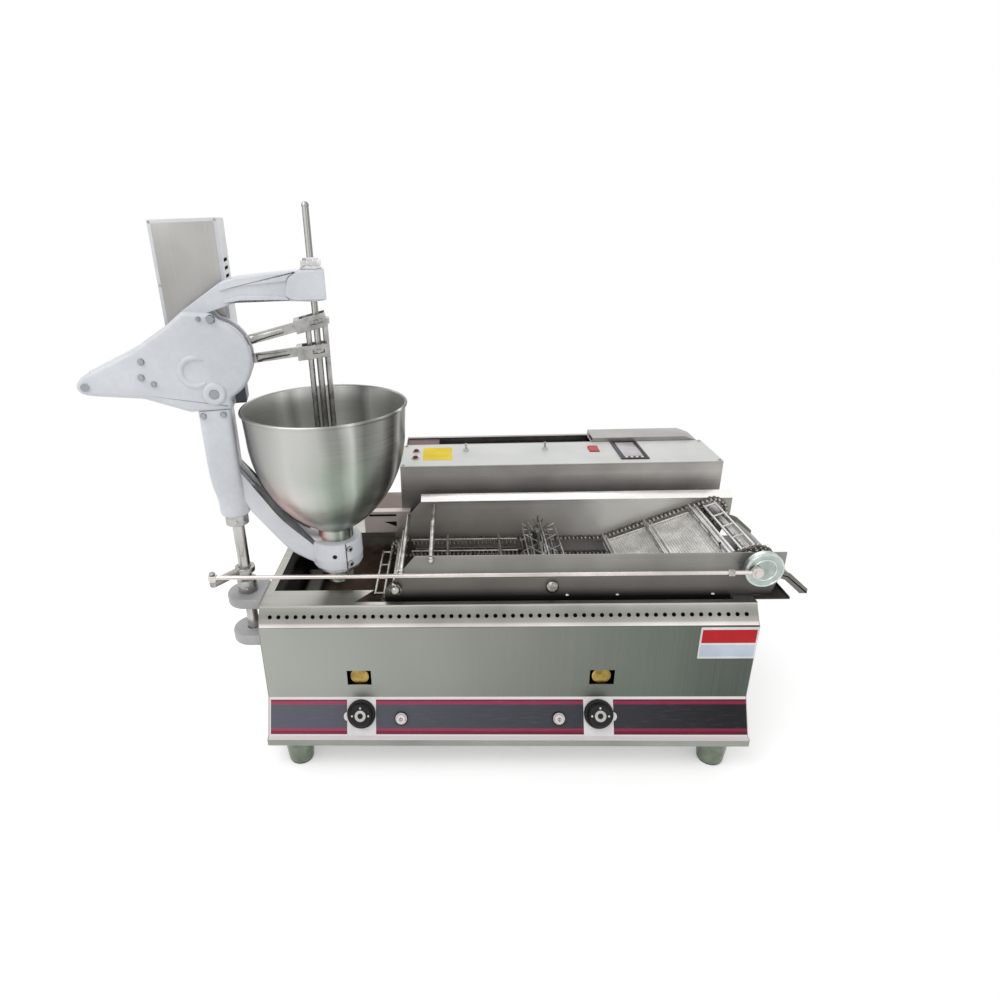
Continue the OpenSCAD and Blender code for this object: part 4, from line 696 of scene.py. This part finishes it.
bm = bmesh.new()  # painted-over bolt heads on the cover, one for each screw of the node
source = bmesh.new()
source.from_mesh(nodes["cover_screws"].data)
bmesh.ops.remove_doubles(source, verts=source.verts, dist=2e-6)
seen, toHead = set(), head.inverted()
for v in source.verts:
    group, todo = [], [v]
    while todo:
        w = todo.pop()
        if w not in seen:
            seen.add(w)
            group.append(toHead @ w.co)
            todo += [e.other_vert(w) for e in w.link_edges]
    if group:
        (x0, y0, z0), (x1, y1, z1) = ([pick(q[i] for q in group) for i in range(3)] for pick in (min, max))
        r, h = (x1 - x0) / 2, y1 - y0
        spot = head @ at((x0 + x1) / 2, y1, (z0 + z1) / 2, 90)
        lathe(bm, [(0, 0), (r, 0), (r, h * 0.25), (r * 0.96, h * 0.3)], spot, 28)
        lathe(bm, [(r * 0.94, h * 0.2), (r * 0.94, h * 0.85), (r * 0.8, h), (0, h)], spot, 6)
source.free()
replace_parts(finished("coverBolts", bm, boltPaint, "head", 30, None, True), "cover_screws")

print("chains")
chainPath = {"infeed": (-190, 289), "infeedRadius": 17, "drive": (418, 360), "driveRadius": 26,
             "foot": (208, 306), "pitch": 8, "fronts": (54, 256.5), "out": 5.2, "link": 3.8, "waist": 2.0,
             "outer": (0.0, 5.0), "inner": (1.1, 3.9), "sheet": 1}


def chainPoints(c):  # the chain's middle line, in x and z, all the way round
    r, small = c["driveRadius"], c["infeedRadius"]
    ax, az = c["infeed"]
    dx, dz = c["drive"]
    fx, fz = c["foot"]
    climb = math.atan2(dz - fz, dx - fx) + math.asin(r / math.hypot(dx - fx, dz - fz))
    half = [math.pi * i / 24 for i in range(25)]
    line = [(ax, az + small), (fx, fz)] + [polar(r, climb + math.pi / 2 - a, dx, dz) for a in half]
    back = 2 * (r * math.cos(climb) - small) / math.sin(climb)
    line.append((fx + 2 * r * math.sin(climb) + back * math.cos(climb), fz - 2 * small))
    return line + [polar(small, -math.pi / 2 - a, ax, az) for a in half], climb


def evenly(line, step):  # points one step apart along a closed line
    lengths = [math.dist(a, b) for a, b in zip(line, line[1:] + line[:1])]
    count = int(round(sum(lengths) / step / 2)) * 2
    step = sum(lengths) / count
    out, i, run = [], 0, 0
    for k in range(count):
        while run + lengths[i] < k * step - 1e-9:
            run += lengths[i]
            i += 1
        a, b = Vector(line[i]), Vector(line[(i + 1) % len(line)])
        out.append(a.lerp(b, (k * step - run) / max(lengths[i], 1e-9)))
    return out


chainLine, climb = chainPoints(chainPath)
pins = evenly(chainLine, chainPath["pitch"])
waist, sheetWide, reach = chainPath["waist"], chainPath["sheet"], chainPath["out"]
bm = bmesh.new()
for yFront in chainPath["fronts"]:
    inward = yFront + 6 if yFront < 150 else yFront - reach
    for i, p in enumerate(pins):
        q = pins[(i + 1) % len(pins)]
        d = (q - p).normalized()
        n = Vector((-d.y, d.x))
        line = []
        for centre, start, across in ((q, -math.pi / 2, waist), (p, math.pi / 2, -waist)):
            for c, s in (polar(1, start + math.pi * k / 4) for k in range(5)):
                line.append(centre + (d * c + n * s) * chainPath["link"])
            line.append((p + q) / 2 + n * across)
        for y in chainPath["inner" if i % 2 else "outer"]:
            skin(bm, [[bm.verts.new((v.x, yFront + y + h, v.y)) for v in line] for h in (sheetWide, 0)], 1)
        lathe(bm, [(2.7, 0), (2.7, 1.8)], at(p.x, yFront + 2.1, p.y, -90), 8)  # roller, then long and short pin
        for r, y, length in ((1.7, inward, reach), (1.5, yFront - 0.6, 7.2)):
            lathe(bm, [(0, 0), (r, 0), (r, length), (0, length)], at(p.x, y, p.y, -90), 8)
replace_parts(finished("chainLinks", bm, [chainSteel, linkSteel], "cabinet", 30, cabinet, True), "chains")

bm = bmesh.new()  # shelf on the rear plate that the upper run passes over, in the near-white painted-highlight steel
block(bm, (-160, 251, 286.6), (52, 270, 288.2))
block(bm, (-160, 251, 284.4), (52, 252.4, 288.2))
finished("chainShelf", bm, foldSteel)

print("incline")
footX, footZ = chainPath["foot"]
driveX, driveZ = chainPath["drive"]
climbLength = math.sqrt((driveX - footX) ** 2 + (driveZ - footZ) ** 2 - chainPath["driveRadius"] ** 2)
incline = {"length": climbLength * 0.87, "drop": 8, "near": 70, "far": 246.5, "bars": (0.04, 0.45, 0.86),
           "pitch": 4.2, "wave": 0.7}
near, far, length, floorZ = incline["near"], incline["far"], incline["length"], -incline["drop"]
slope = cabinet @ at(footX, 0, footZ) @ Matrix.Rotation(-climb, 4, "Y")
bm = bmesh.new()
steps = int(length / incline["pitch"]) * 6
rows = []
for u in (length * i / steps for i in range(steps + 1)):  # a finely ribbed sheet between the bars
    h = floorZ + 1.4 + incline["wave"] * math.sin(2 * math.pi * u / incline["pitch"])
    rows.append([bm.verts.new((u, y, h)) for y in (far, near)])
skin(bm, rows, closed=False)
block(bm, (0, near, floorZ), (length, far, floorZ + 0.6), 0.2)
for u in (climbLength * share for share in incline["bars"]):
    block(bm, (u - 4, 46.6, floorZ - 2), (u + 4, 269.9, floorZ))
    for side in (-3.4, 3.4):
        tube(bm, (u + side, 62, floorZ + 3.2), (u + side, 254, floorZ + 3.2), 2.4, 12)
for y in (near + 1.5, far - 1.5):
    tube(bm, (2, y, floorZ + 2.6), (length - 2, y, floorZ + 2.6), 1.6)
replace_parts(finished("inclineGrid", bm, gridSteel, matrix=slope), "incline_plate")
flight = {"start": climbLength * 0.935, "end": climbLength * 1.03, "z": -4.6, "near": 63.5, "far": 249}
bm = bmesh.new()  # the flight that is just going over the top
for u in (flight["start"], flight["end"]):
    tube(bm, (u, flight["near"], flight["z"]), (u, flight["far"], flight["z"]), 2.1, 10)
for y in range(68, 245, 44):
    tube(bm, (flight["start"], y, flight["z"]), (flight["end"], y, flight["z"]), 1.7)
finished("topFlight", bm, gridSteel, matrix=slope)
# painted light: lighter than the grid steel so the teeth read light in the shade
laneSteel = bright("laneSteel", (236, 234, 230), (170, 167, 162), 0.24, 60, 0.6)
laneRails = {"start": -164, "end": 40, "pitch": 8, "tooth": 10.5, "wire": 1.3,
             "lines": ((249, 309.5), (202, 308.5), (152, 309))}
bm = bmesh.new()  # guide rails with short teeth along the lane
for y, z in laneRails["lines"]:
    tube(bm, (laneRails["start"], y, z), (laneRails["end"], y, z), laneRails["wire"])
    for x in range(laneRails["start"] + 2, laneRails["end"], laneRails["pitch"]):
        tube(bm, (x, y, z + 0.4), (x, y, z - laneRails["tooth"]), laneRails["wire"], 6)
finished("laneRails", bm, laneSteel)

print("shafts and sprockets")
driveTeeth = {"teeth": 13, "root": 18, "tip": 22.6, "wide": 2.6, "hub": 14}
infeedTeeth = {"teeth": 9, "root": 9.6, "tip": 13.6, "wide": 2.6, "hub": 9}


def sprocket(bm, x, z, y, t):
    tip, root = t["tip"], t["root"]
    radii = (tip, tip - 0.6, root + 1.2, root, root + 1.2, tip - 0.6)
    place = at(x, y + t["wide"], z, 90)
    plate(bm, [polar(radii[i % 6], a) for i, a in enumerate(turns(t["teeth"] * 6))], 0, t["wide"], 0.3, place)
    capped(bm, t["hub"], -3, t["wide"] + 3, 0.8, place)


for name, node, (x, z), low, high, radius, toothed in (
        ("driveShaft", "drive_shaft", chainPath["drive"], 29.5, 336, 8, driveTeeth),
        ("infeedShaft", "infeed_shaft", chainPath["infeed"], 50.5, 266, 6, infeedTeeth)):
    bm = bmesh.new()
    capped(bm, radius, low, high, 0.6, at(x, 0, z, -90))
    if node == "infeed_shaft":
        capped(bm, 2, 41, 275.5, 0.4, at(x, 0, z, -90), 16)
    for y in chainPath["fronts"]:
        sprocket(bm, x, z, y + 1.7, toothed)
    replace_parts(finished(name, bm, finishOf[node], bodyOf[node], 35, cabinet, True), node)
couplingLine = [(8.1, 0), (15.5, 0), (17, 1.5), (17, 11), (15.6, 12), (15.6, 16), (17, 17), (17, 26.5),
                (15.5, 28), (8.1, 28)]
bm = bmesh.new()
lathe(bm, couplingLine, at(driveX, 289.5, driveZ, -90))
for a in range(0, 360, 60):
    capped(bm, 2.2, 13, 18.2, 0.5, at(driveX, 296, driveZ, a + 20, "Y"), 12)
finished("shaftCoupling", bm, white, "drive")

print("exit end")
chute = {"near": 46.6, "far": 269.9, "sheet": 1.5, "hem": (503.9, 304.8),
         "line": [(446, 340), (468.4, 334), (503.6, 303), (505, 303), (505, 305), (469, 336), (446, 342)],
         "wall": [(446, 336), (465, 329), (493, 303), (505, 303), (505, 311), (472, 341), (462, 345), (446, 349)]}
near, far, (hemX, hemZ) = chute["near"], chute["far"], chute["hem"]
sideways = at(0, 0, 0, 90)
bm = bmesh.new()
plate(bm, chute["line"], -far, -near, 0.1, sideways)
for y in (near, far - chute["sheet"]):
    plate(bm, chute["wall"], -y - chute["sheet"], -y, 0.3, sideways)
tube(bm, (hemX, near + 0.5, hemZ), (hemX, far - 0.5, hemZ), 0.9)  # hemmed lower edge
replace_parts(finished("exitChute", bm, chuteSteel, outward=True), "exit_chute")
bm = bmesh.new()  # drip tray on the cabinet's end, under the drive, in darker steel as painted shade
block(bm, (414.6, 34, 299.6), (472, 268, 301.2))
block(bm, (470.6, 34, 299.6), (472, 268, 304))
finished("dripTray", bm, traySteel)
bm = bmesh.new()  # nut at the crank end of the rod
lathe(bm, [(3.4, -5), (5.6, -5), (6.1, -4.2), (6.1, 4.2), (5.6, 5), (3.4, 5)], at(362, 18.03, driveZ, 90, "Y"), 6)
finished("rodNut", bm, nutSteel, "connecting_rod", 30, outward=True)
bm = bmesh.new()  # raised rim and ring turned on the crank disc's face, lighter than the disc as a painted highlight
for r in (29.8, 19.4):
    lathe(bm, [(r - 2.6, -0.6), (r - 2.4, 0.5), (r - 2, 0.9), (r - 0.4, 0.9), (r, 0.5), (r, -0.6)],
          at(driveX, 24.5, driveZ, 90), 72)
finished("discRings", bm, rimAlloy, "drive", outward=True)
bracket = {"face": 299, "line": [(-266, 302.1), (-171, 302.1), (-171, 349), (-262, 349), (-266, 345)],
           "slots": ([(-256, 339), (-200, 339), (-200, 343.4), (-256, 343.4)],
                     [(-226, 326.5), (-200, 316), (-200, 327)])}
face = bracket["face"]
bm = bmesh.new()  # folded bracket on the deck at the lane's rear left end, in steel lightened as painted light, with two slots drawn near black as painted shade
plate(bm, bracket["line"], -face - 1.4, -face, 0.3, sideways)
block(bm, (-262, face, 347.6), (-171, 317.8, 349))
block(bm, (-266, face, 302.05), (-171, 312, 303.4))
for line in bracket["slots"]:
    plate(bm, line, face - 0.3, face, 0, sideways @ Matrix.Scale(-1, 4, (0, 0, 1)), 1)
finished("laneBracket", bm, [bracketSteel, dark], outward=True)

print("flipper")
star = {"x": 82, "z": 323, "low": 66.5, "high": 250, "arms": 6, "radius": 37.6}
low, high, turn = star["low"], star["high"], at(star["x"], 0, star["z"], -90)
bm = bmesh.new()
capped(bm, 5, 36, 271.5, 0.5, turn, 24)
for y in (low, high - 10):
    lathe(bm, [(5, y), (11, y), (11, y + 3), (8, y + 4), (8, y + 6), (11, y + 7), (11, y + 10), (5, y + 10)],
          turn, 32)
for a in turns(star["arms"]):
    ray = lambda r, y, t=0.0: (star["x"] + r * math.sin(a + t), y, star["z"] + r * math.cos(a + t))
    for r in (21, star["radius"] - 1.6):
        tube(bm, ray(r, low), ray(r, high), 1.6)
    for k in range(5):
        y = low + 2 + (high - low - 4) * k / 4
        tube(bm, ray(5, y), ray(star["radius"], y), 1.3 if k % 4 else 1.9)
    for t in (-0.3, 0.3):  # short spikes at both ends
        for y in (low + 2, high - 2):
            tube(bm, ray(8, y), ray(30, y, t), 1.1, 6)
bmesh.ops.recalc_face_normals(bm, faces=bm.faces)
lathe(bm, [(5, 0), (10.8, 0), (10.8, 5.6), (10.2, 6.4), (8.6, 8.4), (6, 10.2), (3, 11), (0, 11.2)],
      at(star["x"], 44.7, star["z"], 90), 36, 1)
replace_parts(finished("flipperStar", bm, [steel, nutSteel], "flipper"), "flipper")

print("gas knobs and strip")
knob = {"xs": (-249, 163), "share": 0.57, "half": 25.5, "low": -38.0, "high": 28.4, "grips": 36,
        "body": [(0, 0.2), (24, 0.2), (25, 0.8), (25, 4.2), (24.2, 5.2), (21, 5.8), (19.6, 8), (19, 15.8),
                 (17.8, 17.4), (16.6, 17.9), (0, 17.9)],
        "ring": [(9.6, 17.8), (9.6, 18.1), (8.6, 18.2), (5, 18.2), (4.4, 17.6), (4.4, 17.2)],
        "dots": ((90, 13.4), (0, 14.2), (180, 14.2))}
half, low, high = knob["half"], knob["low"], knob["high"]
for side, out, x in zip(("left", "right"), (-1, 1), knob["xs"]):
    place = onStrip(x, knob["share"])
    bm = bmesh.new()
    lathe(bm, knob["body"], steps=64)
    lathe(bm, knob["ring"], steps=40, slot=1)
    lathe(bm, [(4.4, 17.2), (4.2, 17.95), (0, 17.95)], steps=24)
    for a, r in knob["dots"]:
        lathe(bm, [(1.7, 0), (1.5, 0.25), (0, 0.3)], at(*polar(r, math.radians(a)), 17.85), 16, 2)
    for a in turns(knob["grips"]):  # fine grips round the side
        tube(bm, (*polar(19.35, a), 8.2), (*polar(18.95, a), 15.4), 0.55, 6)
    capped(bm, 4, -10, 1, 0.4)
    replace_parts(finished("gasKnob." + side, bm, [black, rodSteel, labelWhite], "knob_" + side, 40, place, True),
                "gas_knob_" + side)
    bm = bmesh.new()  # the white square under the knob, with its small half-round tab
    arc = [math.radians(t) for t in range(0, 181, 20)]
    tab = [(out * half + out * 6 * math.sin(t), -5 - out * 7.5 * math.cos(t)) for t in arc]
    rightTab, leftTab = (tab, []) if out > 0 else ([], tab)
    line = [(-half, low), (half, low)] + rightTab + [(half, high), (-half, high)] + leftTab
    plate(bm, line, 0.02, 0.12, 0, place)
    finished("knobSquare." + side, bm, labelWhite, matrix=None)
button = {"xs": (-179, 95), "share": 0.45,
          "body": [(0, -5.5), (7.6, -5.5), (7.9, -5), (7.9, 6.6), (7.4, 7.9), (6.4, 8.5), (0, 8.5)]}
for side, x in zip(("left", "right"), button["xs"]):
    place = onStrip(x, button["share"])
    bm = bmesh.new()
    lathe(bm, button["body"], steps=40)
    lathe(bm, [(3.4, 8.45), (3.2, 8.6), (2.4, 8.6), (2.2, 8.45)], steps=24, slot=1)
    block(bm, (-0.6, -2.4, 8.4), (0.6, 2.4, 8.62), 0.1, slot=1)
    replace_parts(finished("igniterButton." + side, bm, [white, markRed], "button_" + side, 40, place, True),
                "igniter_button_" + side)

bm = bmesh.new()  # pale rings round the igniter buttons, each with a thin red rim
for place in (onStrip(x, button["share"]) for x in button["xs"]):
    lathe(bm, [(8.3, 2.6), (8.3, 3.3), (9.9, 3.3), (10.1, 3.05)], place, 40)
    lathe(bm, [(10.1, 3.02), (10.1, 3.15), (11.2, 3.15), (11.3, 3.0)], place, 40, 1)
finished("igniterRings", bm, [white, markRed], matrix=None)

print("labels and control panel")


def oblong(x0, y0, x1, y1):  # four corners, against the clock
    return [(x0, y0), (x1, y0), (x1, y1), (x0, y1)]


bm = bmesh.new()  # a bare two-tone plate on the front panel
lean = at(321, -0.35, 207, 90)
plate(bm, rounded(oblong(0, 0, 94, 62), 2), 0, 0.3, 0.05, lean)
plate(bm, oblong(3, 31, 91, 57), 0.3, 0.36, 0, lean, 1)
plate(bm, oblong(3, 4, 91, 27), 0.3, 0.36, 0, lean, 2)
finished("frontLabel", bm, [labelWhite, labelRed, labelPale])
bm = bmesh.new()
plate(bm, rounded(oblong(-145, 352, -84, 431), 2), 440.02, 440.3, 0.05)
finished("yellowLabel.panel", bm, yellow)
bm = bmesh.new()
block(bm, (261, 341, 440.1), (309, 443, 441.6))
block(bm, (266, 352, 441.5), (304, 438, 441.9), 0.15, slot=1)
for i in range(4):
    capped(bm, 3.2, 441.4, 442.3, 0.3, at(269.5 + 10.4 * i, 346.6, 0), 16, 2)
finished("displayScreen", bm, [black, screen, white])
# panel screws, their slots drawn near black as painted shade
bm = bmesh.new()
for x, y in ((x, y) for x in (-183, 446) for y in (324, 444)):
    capped(bm, 3.4, 440, 441.8, 0.7, at(x, y, 0), 20)
    block(bm, (x - 2.6, y - 0.35, 441.7), (x + 2.6, y + 0.35, 441.95), 0.1, slot=1)
finished("panelScrews", bm, [steel, dark])
bm = bmesh.new()
for y in (364, 406):
    lathe(bm, [(8.4, 440), (8.4, 441.2), (7.4, 442), (6.2, 442), (6.1, 440)], at(-160, y, 0), 32)
    lathe(bm, [(6, 441.6), (5.4, 444.2), (3.4, 446), (0, 446.6)], at(-160, y, 0), 32, 1)
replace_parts(finished("lampLenses", bm, [steel, lampRed]), "indicator_lamps")

bm = bmesh.new()  # the fold along the top of the rear plate, near white as a painted highlight
lipLine = [(269.9, 381.7), (271, 381.7), (288.4, 390.2), (288.4, 391.6), (287.6, 391.6), (269.9, 382.8)]
plate(bm, lipLine, -146.6, 458.6, 0.15, Matrix(((0, 0, 1, 0), (1, 0, 0, 0), (0, 1, 0, 0), (0, 0, 0, 1))))
finished("rearFold", bm, foldSteel, outward=True)
bm = bmesh.new()  # soot-red end inside the flue, then its floor, near black as painted shade
block(bm, (-182.6, 459, 400), (-112, 505, 436.5), 1)
block(bm, (-112, 459, 380), (218, 505, 424), 1, slot=1)
finished("flueInside", bm, [sootRed, dark])

print("front bolts, feet, motor box")
bm = bmesh.new()
for x in (108, 192, 350):
    lathe(bm, [(3.6, 0), (3.6, 1.2), (2.6, 2.4), (1.2, 2.9), (0, 3)], at(x, 45, 304, 90), 20)
finished("plateBolts", bm, rodSteel)
bm = bmesh.new()
for spot in (at(x, y, 0) for x in (-366, 366) for y in (-8, 470)):
    lathe(bm, [(0, 3), (21.2, 3), (22.2, 3.8), (24, 22), (26.2, 46), (27, 49), (27, 52), (0, 52)], spot, 56)
    lathe(bm, [(0, 0), (19.6, 0), (20.8, 0.8), (21, 3.2), (0, 3.2)], spot, 40, 1)
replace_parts(finished("footCups", bm, [footSteel, rubber]), "feet")
motorLid = {"wide": 98, "high": 183, "sheet": 1.5, "rim": 5, "place": (-66, 34.5, 426)}
wide, tall, rim, lidPlace = motorLid["wide"], motorLid["high"], motorLid["rim"], head @ at(*motorLid["place"])
bm = bmesh.new()  # the cover's brushed face inside its folded rim
block(bm, (0, 0, 0), (wide, motorLid["sheet"], tall), 0.5, lidPlace)
block(bm, (rim, -0.9, rim), (wide - rim, 0.2, tall - rim), 0.4, lidPlace, 1)
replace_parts(finished("motorCover", bm, [whitePaint, cover], "head", 40, None), "motor_box_cover")
bm = bmesh.new()
for u, z in ((u, z) for z in (3, 180, 92) for u in (2.6, 95.4)):
    capped(bm, 1.7, -0.1, 0.9, 0.3, lidPlace @ at(u, 0, z, 90), 14)
finished("motorCoverScrews", bm, steel, "head", 40, None)

print("stage, light and camera")
bm = bmesh.new()
bmesh.ops.create_grid(bm, x_segments=1, y_segments=1, size=14)
mesh = bpy.data.meshes.new("floor")
bm.to_mesh(mesh)
bm.free()
floor = linked("floor", mesh)
floor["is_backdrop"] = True
f = Finish("floorWhite")
seen, mirrored = (f.add("ShaderNodeLightPath", take=k) for k in ("Is Camera Ray", "Is Glossy Ray"))
cloth = f.add("ShaderNodeBsdfDiffuse", None, {"Color": (0.93, 0.93, 0.93, 1)})
glow, paper = (f.add("ShaderNodeEmission", None, {"Color": (1, 1, 1, 1), "Strength": s}) for s in (0.34, 1.0))
both = f.add("ShaderNodeAddShader", None, {0: cloth, 1: glow})
away = f.vector("LENGTH", f.place(), take="Value")
far = f.add("ShaderNodeMixShader", None, {0: f.spread(away, 0.62, 0.95), 1: both, 2: paper})
f.close(f.add("ShaderNodeMixShader", None, {0: f.sum("MAXIMUM", seen, mirrored), 1: cloth, 2: far}))
mesh.materials.append(f.material)

world = bpy.data.worlds.new("studio")
bpy.context.scene.world = world
w = Finish("studio", world)
ray = [w.add("ShaderNodeLightPath", take=k) for k in ("Is Camera Ray", "Is Glossy Ray", "Is Transmission Ray")]
plain = w.sum("MAXIMUM", w.sum("MAXIMUM", ray[0], ray[1]), ray[2])
back = w.add("ShaderNodeBackground", None, {"Color": (1, 1, 1, 1), "Strength": plain * 0.32 + 0.68})
w.close(back, "ShaderNodeOutputWorld")

aim = Vector((0, 0, 0.4))
for name, spot, size, power in (("keyLight", (-1.5, -1.5, 3.2), 2.4, 34), ("fillLight", (2.4, -2.2, 1.6), 2.4, 9),
                                ("backLight", (0.3, 2.4, 2.6), 2.2, 14)):
    lamp = bpy.data.lights.new(name, "AREA")
    lamp.size, lamp.energy = size, power
    facing = (aim - Vector(spot)).to_track_quat("-Z", "Y").to_matrix().to_4x4()
    linked(name, lamp).matrix_world = Matrix.Translation(spot) @ facing

view = {"eye": (-78, -917, 899.5), "yaw": -2.9, "pitch": 22.95, "roll": 2.02, "focal": 654,
        "middle": (425, 495.5), "film": 36, "pixels": 1000}
yaw, pitch, roll = (math.radians(view[k]) for k in ("yaw", "pitch", "roll"))
ahead = Vector((math.sin(yaw) * math.cos(pitch), math.cos(yaw) * math.cos(pitch), -math.sin(pitch)))
right = Vector((math.cos(yaw), -math.sin(yaw), 0))
down = ahead.cross(right)
right, down = math.cos(roll) * right + math.sin(roll) * down, math.cos(roll) * down - math.sin(roll) * right
camera = bpy.data.cameras.new("camera")
camera.sensor_width, camera.lens = view["film"], view["film"] * view["focal"] / view["pixels"]
camera.shift_x = (view["pixels"] / 2 - view["middle"][0]) / view["pixels"]
camera.shift_y = (view["middle"][1] - view["pixels"] / 2) / view["pixels"]
camera.clip_start, camera.clip_end = 0.05, 60
eye = linked("camera", camera)
turn = Matrix((right, -down, -ahead)).transposed().to_4x4()
eye.matrix_world = Matrix.Translation(cabinet @ Vector(view["eye"])) @ turn
bpy.context.scene.camera = eye
bpy.context.scene.view_settings.view_transform = "Standard"

low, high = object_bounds()
